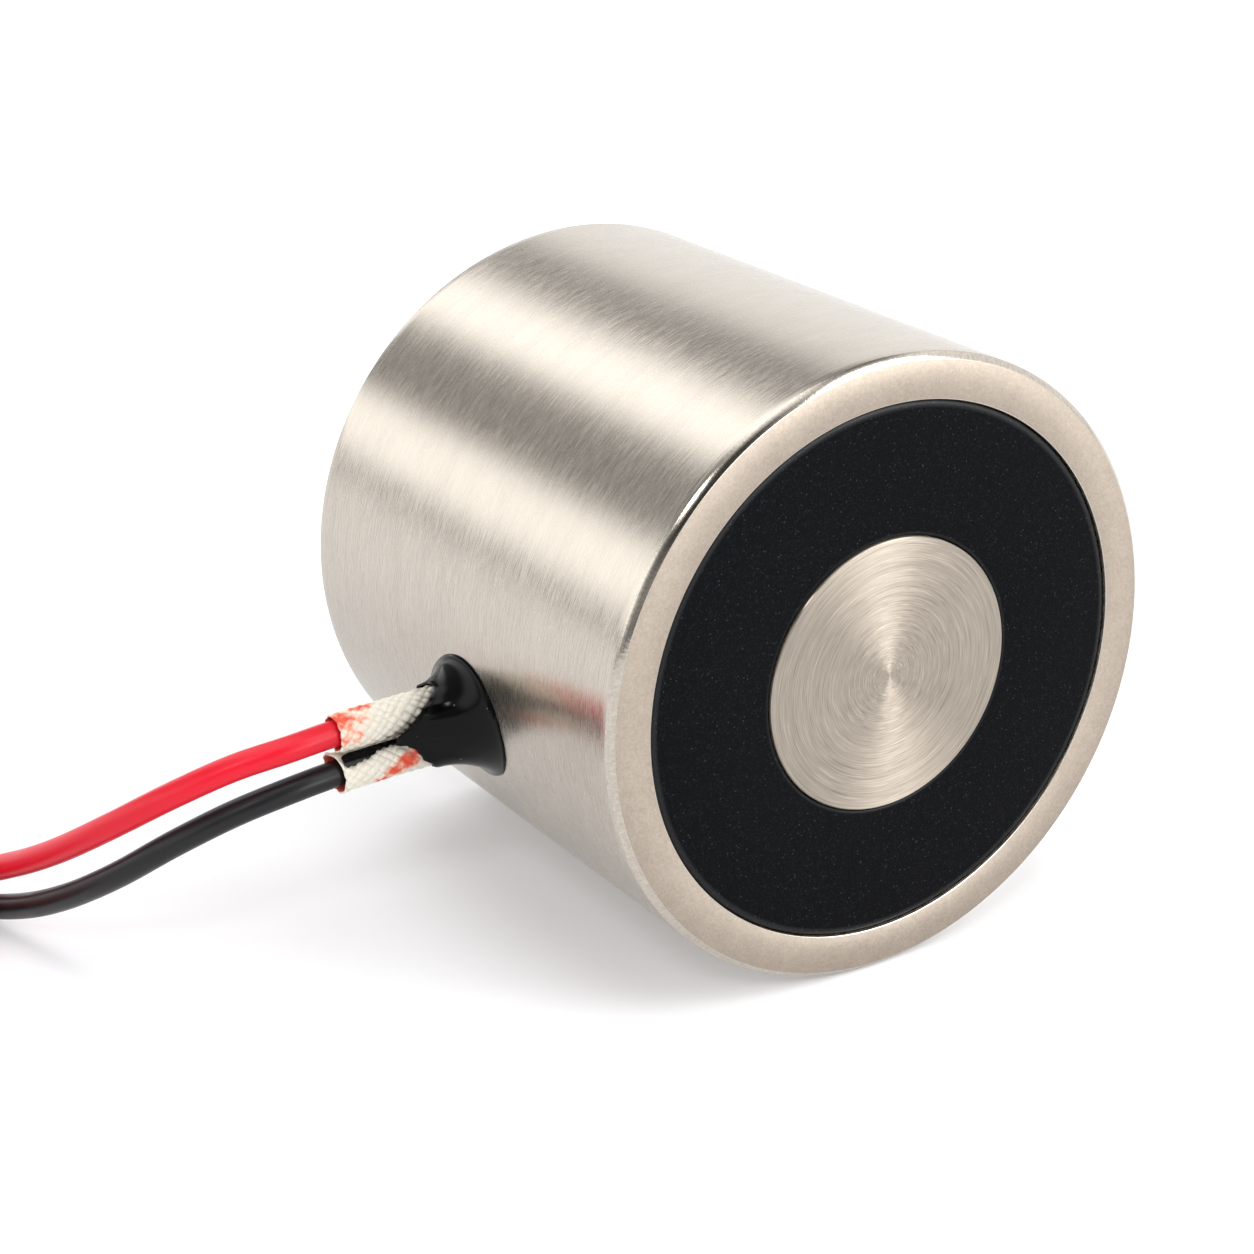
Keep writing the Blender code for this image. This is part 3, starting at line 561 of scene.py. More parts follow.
def build_resin(colour):
    """Cast epoxy, left as it set: nearly black, half matt, with a fine dimpled skin and dust."""
    finish, tree, shader = new_finish("cast epoxy resin", colour, 0.42, Specular_IOR_Level=0.03)
    place = add_node(tree, "TexCoord").outputs["Object"]
    # The rounded edges at the cup and at the core set smoother, so they shine more
    flat = add_node(
        tree, "Mapping", {0: place, "Location": (0, 0, -BODY_RADIUS), "Scale": (1, 0, 1)}
    )
    radius = add_node(tree, "VectorMath", {0: flat}, operation="LENGTH").outputs["Value"]
    edge = add_node(
        tree, "MapRange", {0: radius, 1: BORE_RADIUS - 0.0008, 2: BORE_RADIUS - 0.0004, 3: 0.03, 4: 0.22}
    )
    lip = add_node(
        tree, "MapRange", {0: radius, 1: CORE_RADIUS + 0.0005, 2: CORE_RADIUS + 0.0003, 3: 0.03, 4: 0.15}
    )
    shine = add_node(tree, "Math", {0: edge, 1: lip}, operation="MAXIMUM")
    # Dimples of 0.3 mm, a grain of 0.15 mm in the colour, and a speck of dust every 0.6 mm
    dimples = add_node(tree, "TexNoise", {"Vector": place, "Scale": 3300.0, "Detail": 2.0})
    grain = add_node(tree, "TexNoise", {"Vector": place, "Scale": 6500.0, "Detail": 1.0})
    specks = add_node(tree, "TexVoronoi", {"Vector": place, "Scale": 1700.0})
    speck = add_node(tree, "MapRange", {0: specks, 1: 0.05, 2: 0.15, 3: 0.55, 4: 0.0})
    lighter = add_node(tree, "MapRange", {0: grain, 1: 0.55, 2: 0.75, 3: 0.0, 4: 0.4})
    grained = add_node(tree, "Mix", {0: lighter, 6: (*colour, 1), 7: "26282B"}, data_type="RGBA")
    mixed = add_node(tree, "Mix", {0: speck, 6: grained.outputs[2], 7: "46484B"}, data_type="RGBA")
    bump = add_node(tree, "Bump", {"Height": dimples, "Distance": 0.00004, "Strength": 0.5})
    feed(shader, colour=mixed.outputs[2], bump=bump, Specular_IOR_Level=shine)
    return finish


def build_seal_finish(colour):
    """Black sealing compound, laid wet and set: deep black, half gloss, with a few specks of dust."""
    finish, tree, shader = new_finish("black sealing compound", colour, 0.2, Specular_IOR_Level=0.12)
    place = add_node(tree, "TexCoord").outputs["Object"]
    waves = add_node(tree, "TexNoise", {"Vector": place, "Scale": 420.0, "Detail": 2.0})
    specks = add_node(tree, "TexVoronoi", {"Vector": place, "Scale": 950.0})
    speck = add_node(tree, "MapRange", {0: specks, 1: 0.05, 2: 0.11, 3: 0.8, 4: 0.0})
    area = add_node(tree, "MapRange", {0: waves, 1: 0.52, 2: 0.6})
    dust = add_node(tree, "Math", {0: speck, 1: area}, operation="MULTIPLY")
    mixed = add_node(tree, "Mix", {0: dust, 6: (*colour, 1), 7: "8C7A5E"}, data_type="RGBA")
    rough = add_node(tree, "MapRange", {0: waves, 1: 0.3, 2: 0.7, 3: 0.12, 4: 0.18})
    bump = add_node(tree, "Bump", {"Height": waves, "Distance": 0.0001, "Strength": 0.3})
    feed(shader, colour=mixed.outputs[2], roughness=rough, bump=bump)
    return finish


def build_braid_finish(colour):
    """Varnished glass-fibre yarn: cream strands, stains, and painted shade in the gaps between the yarns
    and next to the seal.
    """
    finish, tree, shader = new_finish("varnished glass-fibre braid", colour, 0.55)
    shader.inputs["Specular IOR Level"].default_value = 0.3
    raised = add_node(tree, "Attribute", attribute_name="raised").outputs["Fac"]
    stain = add_node(tree, "Attribute", attribute_name="stain").outputs["Fac"]
    soot = add_node(tree, "Attribute", attribute_name="soot").outputs["Fac"]
    # Strands: eight across a yarn of 0.8 mm, along the yarn that lies on top
    way = add_node(tree, "UVMap", uv_map="yarns")
    place = add_node(tree, "Mapping", {0: way, "Scale": (9.0, 1.2, 1.0)})
    strands = add_node(tree, "TexNoise", {"Vector": place, "Scale": 1.0, "Detail": 1.0})
    where = add_node(tree, "TexCoord").outputs["Object"]
    blotches = add_node(tree, "TexNoise", {"Vector": where, "Scale": 1500.0, "Detail": 3.0})
    # Painted shade: the cream turns darker in the gaps where the yarns dip under each other
    gap_shade = add_node(tree, "MapRange", {0: raised, 1: 0.0, 2: 0.4, 3: 0.0, 4: 1.0})
    cream = mottle(tree, strands, 0.91, 1.0, tuple(colour))
    cream = mottle(tree, blotches, 0.93, 1.0, cream)
    woven = add_node(tree, "Mix", {0: gap_shade, 6: "DAD1BC", 7: cream}, data_type="RGBA").outputs[2]
    # The stain has crept along the crevices, so it is stronger there
    crept = add_node(tree, "MapRange", {0: raised, 1: 0.1, 2: 0.8, 3: 0.14, 4: -0.02})
    spread = add_node(tree, "Math", {0: blotches, 1: -0.5}, operation="ADD")
    spread = add_node(tree, "Math", {0: spread, 1: 1.3, 2: crept}, operation="MULTIPLY_ADD")
    reached = add_node(tree, "MapRange", {0: stain, 1: 0.0, 2: 0.25})
    uneven = add_node(tree, "Math", {0: spread, 1: reached, 2: stain}, operation="MULTIPLY_ADD")
    pale = add_node(tree, "MapRange", {0: uneven, 1: 0.1, 2: 0.45, 3: 0.0, 4: 0.75})
    deep = add_node(tree, "MapRange", {0: uneven, 1: 0.32, 2: 0.75, 3: 0.0, 4: 0.92})
    woven = add_node(tree, "Mix", {0: pale, 6: woven, 7: "F3B79B"}, data_type="RGBA").outputs[2]
    woven = add_node(tree, "Mix", {0: deep, 6: woven, 7: "E2482A"}, data_type="RGBA").outputs[2]
    # Painted shade next to the seal's edge in 3A3A36, deepest in the crevices between the yarns
    deeper = add_node(tree, "MapRange", {0: raised, 1: 0.2, 2: 0.95, 3: 1.8, 4: 0.75})
    dark = add_node(tree, "Math", {0: soot, 1: deeper}, operation="MULTIPLY")
    dark = add_node(tree, "Math", {0: dark, 1: blotches}, operation="MULTIPLY")
    woven = add_node(tree, "Mix", {0: dark, 6: woven, 7: "3A3A36"}, data_type="RGBA").outputs[2]
    bump = add_node(tree, "Bump", {"Height": strands, "Distance": 0.00006, "Strength": 0.5})
    feed(shader, colour=woven, bump=bump)
    return finish


def build_insulation(name, colour):
    """Extruded PVC insulation: satin, with a faint unevenness along it."""
    finish, tree, shader = new_finish(name, colour, 0.34, Specular_IOR_Level=0.28)
    place = add_node(tree, "TexCoord").outputs["Object"]
    uneven = add_node(tree, "TexNoise", {"Vector": place, "Scale": 300.0, "Detail": 3.0})
    rough = add_node(tree, "MapRange", {0: uneven, 1: 0.3, 2: 0.7, 3: 0.3, 4: 0.4})
    bump = add_node(tree, "Bump", {"Height": uneven, "Distance": 0.00005, "Strength": 0.15})
    feed(shader, roughness=rough, bump=bump)
    return finish


def build_inner(name, colour, roughness, metallic, grain, depth, turns=False):
    """A finish for an inner piece, with grain of some millimetres in its colour, gloss and surface."""
    finish, tree, shader = new_finish(name, colour, roughness, metallic)
    place = add_node(tree, "TexCoord").outputs["Object"]
    noise = add_node(tree, "TexNoise", {"Vector": place, "Scale": 1000 / grain, "Detail": 3.0})
    tinted = mottle(tree, noise, 0.82, 1.04, tuple(colour))
    rough = add_node(
        tree, "MapRange", {0: noise, 1: 0.3, 2: 0.7, 3: roughness * 0.75, 4: roughness * 1.25}
    )
    height = noise
    if turns:
        # Turns of wire 0.45 mm apart, in relief, with painted shade in the grooves between them
        height = add_node(tree, "TexWave", {"Vector": place, "Scale": 700.0}, bands_direction="Y")
        tinted = mottle(tree, height, 0.6, 1.0, tinted)
    bump = add_node(tree, "Bump", {"Height": height, "Distance": depth * MM, "Strength": 0.6})
    feed(shader, colour=tinted, roughness=rough, bump=bump)
    return finish


class MAGNET_OT_stage(bpy.types.Operator):
    """Sets up the camera, the white floor, the lamps and the studio's light"""

    bl_idname = "magnet.stage"
    bl_label = "Studio"

    def execute(self, context):
        scene = context.scene
        scene.view_settings.view_transform = "Standard"
        camera = bpy.data.objects.new("camera", bpy.data.cameras.new("camera"))
        camera.data.lens = CAMERA_LENS
        camera.data.sensor_width = 36
        camera.data.clip_start = 0.01
        camera.location = CAMERA_PLACE
        camera.rotation_euler = (pi / 2 - CAMERA_DIP, 0, -CAMERA_TURN)
        scene.collection.objects.link(camera)
        scene.camera = camera
        self.lay_floor(scene)
        self.light(scene)
        return {"FINISHED"}

    def lay_floor(self, scene):
        mesh = bmesh.new()
        bmesh.ops.create_grid(mesh, x_segments=1, y_segments=1, size=3.0)
        data = bpy.data.meshes.new("floor")
        mesh.to_mesh(data)
        mesh.free()
        floor = bpy.data.objects.new("floor", data)
        scene.collection.objects.link(floor)
        # White paper: it shines a little to the camera and to what mirrors it, so that it is pure white
        # and keeps the shadow
        paper = bpy.data.materials.new("white paper")
        paper.use_nodes = True
        tree = paper.node_tree
        tree.nodes.clear()
        path = add_node(tree, "LightPath")
        matt = add_node(tree, "BsdfDiffuse", {"Color": "E2E2E4"})
        glow = add_node(tree, "Emission", {"Color": "FFFFFF", "Strength": 0.17})
        lit = add_node(tree, "AddShader", {0: matt, 1: glow})
        seen = path.outputs["Is Camera Ray"]
        for ray in ("Is Glossy Ray", "Is Transmission Ray"):
            seen = add_node(tree, "Math", {0: seen, 1: path.outputs[ray]}, operation="MAXIMUM")
        mixed = add_node(tree, "MixShader", {0: seen, 1: matt, 2: lit})
        add_node(tree, "OutputMaterial", {0: mixed})
        data.materials.append(paper)

    def light(self, scene):
        for name, energy, size, towards in (
            ("key", 1.5, 35, (0.4985, -0.6, 0.626)),
            ("fill", 0.42, 10, (-0.5, -0.55, 0.67)),
        ):
            lamp = bpy.data.objects.new(name, bpy.data.lights.new(name, "SUN"))
            lamp.data.energy = energy
            lamp.data.angle = radians(size)
            lamp.rotation_euler = Vector(towards).to_track_quat("Z", "Y").to_euler()
            scene.collection.objects.link(lamp)
        world = bpy.data.worlds.new("studio")
        world.use_nodes = True
        scene.world = world
        tree = world.node_tree
        tree.nodes.clear()
        # Panels of light along the magnet, by the angle over its left side: low left, above, and right
        way = add_node(tree, "TexCoord").outputs["Generated"]
        part = add_node(tree, "SeparateXYZ", {0: way})
        back = add_node(tree, "Math", {0: part.outputs["X"], 1: -1.0}, operation="MULTIPLY")
        angle = add_node(tree, "Math", {0: part.outputs["Z"], 1: back}, operation="ARCTAN2")
        share = add_node(tree, "MapRange", {0: angle, 1: 0.0, 2: pi})
        ramp = add_node(tree, "ValToRGB", {0: share})
        stops = [
            (0.0, 0.35), (0.03, 1.0), (0.075, 2.25), (0.17, 2.25), (0.225, 0.43), (0.37, 0.43),
            (0.425, 2.6), (0.525, 2.6), (0.59, 0.36), (0.685, 0.34), (0.74, 1.5), (1.0, 1.35),
        ]
        while len(ramp.color_ramp.elements) < len(stops):
            ramp.color_ramp.elements.new(0.5)
        for element, (position, level) in zip(ramp.color_ramp.elements, stops):
            element.position = position
            element.color = (level, level, level, 1)
        # The room before the magnet is dark to the left, with one more panel low to the camera's right
        right = add_node(tree, "MapRange", {0: part.outputs["X"], 1: 0.0, 2: 0.4, 3: 0.2, 4: 7.1})
        edge = add_node(tree, "MapRange", {0: part.outputs["X"], 1: 0.6, 2: 0.75, 3: 1.0, 4: 0.22})
        right = add_node(tree, "Math", {0: right, 1: edge}, operation="MULTIPLY")
        low = add_node(tree, "MapRange", {0: part.outputs["Z"], 1: 0.2, 2: 0.5, 3: 1.0, 4: 0.12})
        right = add_node(tree, "Math", {0: right, 1: low}, operation="MULTIPLY")
        front = add_node(tree, "MapRange", {0: part.outputs["Y"], 1: -0.4, 2: -0.62})
        before = add_node(tree, "Mix", {0: front, 2: 1.0, 3: right})
        path = add_node(tree, "LightPath")
        panels = add_node(tree, "Background", {"Color": ramp, "Strength": before})
        white = add_node(tree, "Background", {"Color": "FFFFFF", "Strength": 1.0})
        mixed = add_node(tree, "MixShader", {0: path.outputs["Is Camera Ray"], 1: panels, 2: white})
        add_node(tree, "OutputWorld", {0: mixed})


class MAGNET_OT_leads(bpy.types.Operator):
    """Lays the red and the black lead, from their sleeves to the coil that they end in"""

    bl_idname = "magnet.leads"
    bl_label = "Leads"

    def execute(self, context):
        colours = context.scene.magnet_colours
        red = self.lay(
            "red_insulation", 1, RED_ROUTE, RED_COIL_START, RED_LEVEL, "red_pvc",
            build_insulation("red PVC insulation", colours.red),
        )
        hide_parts("red_lead", "lead_coil")
        black = self.lay(
            "black_insulation", -1, BLACK_ROUTE, BLACK_COIL_START, LEAD_RADIUS, "black_pvc",
            build_insulation("black PVC insulation", colours.black),
        )
        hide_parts("black_lead")
        return {"FINISHED"}

    def lay(self, name, side, route, coil_start, level, slot, finish):
        line = smooth_line(lead_route(side, route, coil_start, level), steps=5)
        curve = bpy.data.curves.new(name, "CURVE")
        curve.dimensions = "3D"
        curve.bevel_depth = LEAD_RADIUS
        curve.bevel_resolution = 6
        curve.use_fill_caps = True
        spline = curve.splines.new("POLY")
        spline.points.add(len(line) - 1)
        for spot, point in zip(spline.points, line):
            spot.co = (point.x, point.y, max(point.z, LEAD_RADIUS), 1)
        spline.use_smooth = True
        return add_piece(name, curve, slot, finish)


class MAGNET_OT_cup(bpy.types.Operator):
    """Turns the steel cup, with its chamfered edges and the flared lead hole in its side"""

    bl_idname = "magnet.cup"
    bl_label = "Steel Cup"

    def execute(self, context):
        colour = list(context.scene.magnet_colours.steel)
        chamfer = context.scene.magnet_sizes.chamfer
        soft = chamfer / 4
        edge = BODY_RADIUS - chamfer
        top = HALF_LENGTH - chamfer
        spigot_hole = SPIGOT_RADIUS + PRESS_GAP
        bore_edge = 0.00012
        rows = 60
        side = [(BODY_RADIUS, top - 2 * top * i / rows) for i in range(rows + 1)]
        profile = [
            (BORE_RADIUS, CUP_FLOOR), (BORE_RADIUS, HALF_LENGTH - bore_edge),
            (BORE_RADIUS + bore_edge / 3, HALF_LENGTH - bore_edge / 3),
            (BORE_RADIUS + bore_edge, HALF_LENGTH), (edge - soft / 4, HALF_LENGTH),
            (edge + soft / 4, HALF_LENGTH - soft / 4), (BODY_RADIUS - soft * 0.7, top + soft * 0.7),
            (BODY_RADIUS - soft * 0.25, top + soft * 0.1), (BODY_RADIUS - soft * 0.05, top - soft * 0.5),
        ]
        profile += side[1:-1]
        profile += [
            (BODY_RADIUS - soft * 0.05, soft * 0.5 - top), (BODY_RADIUS - soft * 0.25, -top - soft * 0.1),
            (BODY_RADIUS - soft * 0.7, -top - soft * 0.7), (edge + soft / 4, soft / 4 - HALF_LENGTH),
            (edge - soft / 4, -HALF_LENGTH), (spigot_hole, -HALF_LENGTH), (spigot_hole, CUP_FLOOR),
        ]
        cup = add_piece("turned_cup", turned(profile, TURNED_SIDES, MAGNET_FRAME), "turned_steel")
        rings = [
            hole_ring(HOLE_RADIUS, 0, HOLE_SIDES, BORE_RADIUS - OVERRUN),
            hole_ring(HOLE_RADIUS, -HOLE_FLARE, HOLE_SIDES),
            hole_ring(HOLE_RADIUS + HOLE_FLARE, 0, HOLE_SIDES),
            hole_ring(HOLE_RADIUS + HOLE_FLARE + OVERRUN, OVERRUN, HOLE_SIDES),
        ]
        cut(cup, [(bridge(rings), "DIFFERENCE")])
        lay_turning_marks(cup, HOLE_MIDDLE)
        for build in (build_steel_side, build_ground_face, build_cut_edge):
            cup.data.materials.append(build(colour))
        for face in cup.data.polygons:
            out = hypot(face.center.x, face.center.z - BODY_RADIUS) > BORE_RADIUS
            if abs(face.normal.y) > 0.9:
                face.material_index = 1
            elif abs(face.normal.y) > 0.2 and out:
                face.material_index = 2
        shade(cup)
        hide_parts("cup_housing")
        return {"FINISHED"}


class MAGNET_OT_core(bpy.types.Operator):
    """Turns the steel core, with its tapped mounting hole"""

    bl_idname = "magnet.core"
    bl_label = "Steel Core"

    def execute(self, context):
        colour = list(context.scene.magnet_colours.steel)
        rings = 40
        chamfer = 0.0001
        pitch, groove = 0.00125, 0.0006
        top = HALF_LENGTH
        profile = [((CORE_RADIUS - chamfer) * i / rings, top) for i in range(rings + 1)]
        profile += [
            (CORE_RADIUS, top - chamfer), (CORE_RADIUS, CORE_SHOULDER),
            (SPIGOT_RADIUS, CORE_SHOULDER), (SPIGOT_RADIUS, chamfer - top),
            (SPIGOT_RADIUS - chamfer, -top), (TAPPING_RADIUS + COUNTERSINK, -top),
            (TAPPING_RADIUS, COUNTERSINK - top),
        ]
        # The M8 thread, drawn as rings of its pitch
        for turn in range(7):
            start = COUNTERSINK - top + pitch * turn
            profile += [(TAPPING_RADIUS + groove, start + groove), (TAPPING_RADIUS, start + 2 * groove)]
        profile += [(TAPPING_RADIUS, TAPPED_DEPTH - top), (0, DRILLED_DEPTH - top)]
        mesh = turned(profile, TURNED_SIDES // 2, MAGNET_FRAME, closed=False)
        core = add_piece("turned_core", mesh, "turned_steel")
        lay_turning_marks(core, HOLE_MIDDLE)
        core.data.materials.append(build_turned_face(colour))
        shade(core)
        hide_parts("pole_core")
        return {"FINISHED"}


class MAGNET_OT_resin(bpy.types.Operator):
    """Casts the resin ring, with soft edges at both joints and a jacket round the winding"""

    bl_idname = "magnet.resin"
    bl_label = "Cast Resin"

    def execute(self, context):
        top = HALF_LENGTH - RESIN_RECESS
        inner, outer = CORE_RADIUS + RESIN_GAP, BORE_RADIUS - RESIN_GAP
        profile = [(inner, RESIN_CEILING), (inner, top - 0.0004)]
        # A small round edge at the core, and a wider one with a shallow slope at the cup
        for corner, radius, steps in ((inner, 0.0003, 5), (outer, -0.0005, 8)):
            turns = [pi / 2 * i / steps for i in range(steps + 1)]
            for turn in turns if radius > 0 else reversed(turns):
                height = abs(radius) * (0.6 if radius < 0 else 1) * (1 - sin(turn))
                profile.append((corner + radius * (1 - cos(turn)), top - height))
        profile += [
            (outer, CORE_SHOULDER), (FLANGE_RADIUS, CORE_SHOULDER), (FLANGE_RADIUS, BASE_FLANGE_TOP),
            (WINDING_RADIUS, BASE_FLANGE_TOP), (WINDING_RADIUS, FLANGE_UNDERSIDE),
            (FLANGE_RADIUS, FLANGE_UNDERSIDE), (FLANGE_RADIUS, RESIN_CEILING),
        ]
        resin = add_piece("cast_resin", turned(profile, TURNED_SIDES, MAGNET_FRAME), "black_resin")
        # A pocket for the sleeves' inner ends, 0.3 mm clear of them
        pocket = bridge([
            [on_stub(*spot, along) for spot in stadium_points(SLEEVE_RADIUS + 0.0003, 48)]
            for along in (-0.013, -SLEEVE_LENGTH - 0.0005)
        ])
        cut(resin, [(pocket, "DIFFERENCE")])
        resin.data.materials.append(build_resin(list(context.scene.magnet_colours.resin)))
        shade(resin)
        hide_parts("potting_compound")
        return {"FINISHED"}


class MAGNET_OT_seal(bpy.types.Operator):
    """Shapes the black seal that spreads over the lead hole and grips both sleeves"""

    bl_idname = "magnet.seal"
    bl_label = "Lead Seal"

    def execute(self, context):
        finish = build_seal_finish(list(context.scene.magnet_colours.seal))
        bore = SLEEVE_RADIUS + SEAL_GAP
        cutters = [(self.tongue(), "UNION")]
        for side in (1, -1):
            start = on_stub(0, side * SLEEVE_SIDE, OVERRUN)
            end = on_stub(0, side * SLEEVE_SIDE, -SLEEVE_LENGTH - OVERRUN)
            cutters.append((rod(start, end, bore, 96), "DIFFERENCE"))
        seal = add_piece("seal_trumpet", self.trumpet(), "black_seal", finish)
        cut(seal, cutters)
        shade(seal, radians(35))
        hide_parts("lead_seal")
        return {"FINISHED"}

    def trumpet(self):
        """From the plug in the hole, over a bead on the cup's side, along a trumpet to the lip."""
        steps = 36
        skin = SLEEVE_RADIUS + SEAL_GAP + SEAL_SKIN
        # The lip of an even trumpet: where it ends at the top, how much further in the middle, and how high
        # the top is over the middle
        reach, further, top = -0.0106, 0.0034, 0.0044
        mouth = HOLE_RADIUS + HOLE_FLARE
        rim = hole_ring(mouth - 0.0001, 0.00022, SEAL_SIDES)
        rings = [
            hole_ring(HOLE_RADIUS - PRESS_GAP, 0, SEAL_SIDES, BORE_RADIUS + PRESS_GAP),
            hole_ring(HOLE_RADIUS - PRESS_GAP, -HOLE_FLARE - 0.00005, SEAL_SIDES),
            hole_ring(mouth - PRESS_GAP, -0.00005, SEAL_SIDES),
            hole_ring(mouth - 0.00002, 0.00007, SEAL_SIDES),
            rim,
        ]
        for step in range(1, steps + 3):
            # The last two rings thin the lip out to a soft edge
            part = min(1, step / steps)
            thin = max(0, step - steps)
            spread = (1 - part) ** 1.75
            climb = part**1.3
            outline = stadium_points(skin - thin * 0.00009, SEAL_SIDES)
            ring = []
            for i, (across, up) in enumerate(outline):
                offset = rim[i] - STUB_MOUTH
                start = (offset.dot(FRONT), offset.dot(STUB_UP), offset.dot(STUB_OUT))
                # The uneven edge grows out of an even trumpet only near the lip
                even = reach + further * (1 - (up / top) ** 2)
                end = even + (seal_lip(across, up) - even) * part**4 + thin * 0.00007
                ring.append(on_stub(
                    across + spread * (start[0] - across),
                    up + spread * (start[1] - up),
                    start[2] + climb * (end - start[2]),
                ))
            rings.append(ring)
        return bridge(rings)

    def tongue(self):
        """The thin strip that ran on along the lower sleeve, as a share of the way from lip to mouth."""
        under, over = SLEEVE_RADIUS + SEAL_GAP / 2, SLEEVE_RADIUS + SEAL_GAP + SEAL_SKIN
        root, length = -0.0072, 0.0071
        # Angles over the lower sleeve, in degrees, where the strip starts and ends
        edges = [
            (0.0, 14, 40), (0.15, 16, 34), (0.28, 16, 31), (0.38, 16, 32), (0.5, 16, 38),
            (0.62, 16, 46), (0.75, 17, 52), (0.88, 19, 55), (0.95, 22, 54), (1.0, 28, 47),
        ]
        rings = []
        for (share, first, last), (after, first_after, last_after) in zip(edges, edges[1:]):
            for part in (0, 0.25, 0.5, 0.75):
                here = share + (after - share) * part
                low = first + (first_after - first) * part
                high = last + (last_after - last) * part + 2.5 * sin(61 * here) + 1.5 * sin(23 * here)
                along = root + length * here
                angles = [radians(low + (high - low) * i / 8) for i in range(9)]
                flat = [(over, a) for a in angles] + [(under, a) for a in reversed(angles)]
                rings.append([
                    on_stub(radius * sin(a), radius * cos(a) - SLEEVE_SIDE, along)
                    for radius, a in flat
                ])
        return bridge(rings)


class MAGNET_OT_sleeves(bpy.types.Operator):
    """Braids the two glass-fibre sleeves, with the stains on them"""

    bl_idname = "magnet.sleeves"
    bl_label = "Braided Sleeves"

    def execute(self, context):
        sizes = context.scene.magnet_sizes
        finish = build_braid_finish(list(context.scene.magnet_colours.braid))
        for name, side in (("red_sleeve", 1), ("black_sleeve", -1)):
            mesh = self.braid(side, sizes.plaits, sizes.braid_height)
            sleeve = add_piece(name + "_braid", mesh, "glass_fibre_braid", finish)
            shade(sleeve, radians(70))
            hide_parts(name)
        return {"FINISHED"}

    def braid(self, side, plaits, height):
        """A tube whose outside rises and falls with the yarns, each going over one and under one."""
        steps = 12
        wall = SLEEVE_RADIUS - SLEEVE_BORE
        rows = round(SLEEVE_SHOWN / YARN_PITCH * steps)
        profile = [(SLEEVE_BORE, -SLEEVE_LENGTH), (SLEEVE_RADIUS, -SLEEVE_LENGTH)]
        profile += [(SLEEVE_RADIUS, -SLEEVE_SHOWN * (1 - i / rows)) for i in range(rows)]
        profile += [(SLEEVE_RADIUS - wall * 0.12, -wall * 0.12), (SLEEVE_RADIUS - wall * 0.5, 0)]
        profile += [(SLEEVE_BORE + wall * 0.12, -wall * 0.12)]
        profile += [(SLEEVE_BORE, -0.0015 * share) for share in (0.2, 0.4, 0.7, 1.0)]
        mesh = turned(profile, plaits * steps, Matrix.Identity(4))
        self.lay_yarns(mesh, plaits)
        self.stain(mesh, side)
        self.raise_yarns(mesh, side, plaits, height)
        place = Matrix((FRONT, STUB_UP, STUB_OUT)).transposed().to_4x4()
        place.translation = on_stub(0, side * SLEEVE_SIDE, 0)
        bmesh.ops.transform(mesh, matrix=place, verts=mesh.verts)
        return mesh

    def crossing(self, plaits, place, near=None):
        """How many yarns of each way lie before a place. Near one side of the seam, if that is given."""
        turn = atan2(place.y, place.x) / (2 * pi)
        if near is not None:
            turn = near + (turn - near + 0.5) % 1 - 0.5
        # The yarns wander a little
        along = place.z / YARN_PITCH
        first = plaits * turn + along + 0.16 * sin(4 * pi * turn + 1.7 * along)
        second = plaits * turn - along + 0.16 * sin(6 * pi * turn - 1.3 * along)
        return first, second, turn

    def rise(self, plaits, place):
        """How high the yarns stand at a place, from nothing between them to one."""
        first, second = self.crossing(plaits, place)[:2]
        if (first // 1 + second // 1) % 2:
            first, second = second, first
        own = 0.5 + 0.5 * sin(12.9 * (first // 1 % plaits) + 7.3 * (second // 1 % plaits))
        return sin(pi * (first % 1)) ** 0.6 * sin(pi * (second % 1)) ** 0.45 * (0.75 + 0.25 * own)

    def is_woven(self, place):
        """Whether a place is on the outside of the tube, where the yarns show."""
        inside = SLEEVE_BORE + (SLEEVE_RADIUS - SLEEVE_BORE) * 0.3
        return hypot(place.x, place.y) > inside and place.z > -SLEEVE_SHOWN - 1e-6

    def lay_yarns(self, mesh, plaits):
        """Unwraps the tube along the yarn that lies on top."""
        yarns = mesh.loops.layers.uv.new("yarns")
        for face in mesh.faces:
            first, second, turn = self.crossing(plaits, face.calc_center_median())
            over = (first // 1 + second // 1) % 2
            for loop in face.loops:
                pair = self.crossing(plaits, loop.vert.co, turn)[:2]
                loop[yarns].uv = pair[::-1] if over else pair

    def stain(self, mesh, side):
        """Marks the orange stains, which the tube has inside too, and the painted shade next to the seal.
        """
        stain = mesh.verts.layers.float.new("stain")
        soot = mesh.verts.layers.float.new("soot")
        for vert in mesh.verts:
            across, up, along = vert.co.x, vert.co.y + side * SLEEVE_SIDE, vert.co.z
            for place, size, level in STAINS[side]:
                spot = (across - place[0] * MM, up - place[1] * MM, (along - place[2] * MM) / size[1])
                near = hypot(hypot(spot[0], spot[1]), spot[2]) / (size[0] * MM)
                vert[stain] = max(vert[stain], level * max(0, 1 - near))
            if not self.is_woven(vert.co):
                vert[stain] = max(vert[stain], 0.75)
            # Painted shade next to the seal's edge, on the upper sleeve only
            near = along - seal_lip(across, up)
            vert[soot] = max(0, min(1, 1 - near / SEAL_SHADE_REACH)) * (0.5 + 0.5 * side)

    def raise_yarns(self, mesh, side, plaits, height):
        """Sets the gaps between the yarns in, and frays the mouth."""
        raised = mesh.verts.layers.float.new("raised")
        for vert in mesh.verts:
            across, up, along = vert.co.x, vert.co.y + side * SLEEVE_SIDE, vert.co.z
            woven = self.is_woven(vert.co)
            rise = self.rise(plaits, vert.co) if woven else 0.5
            vert[raised] = rise
            share = 1 - height * (1 - rise) / hypot(vert.co.x, vert.co.y) * woven
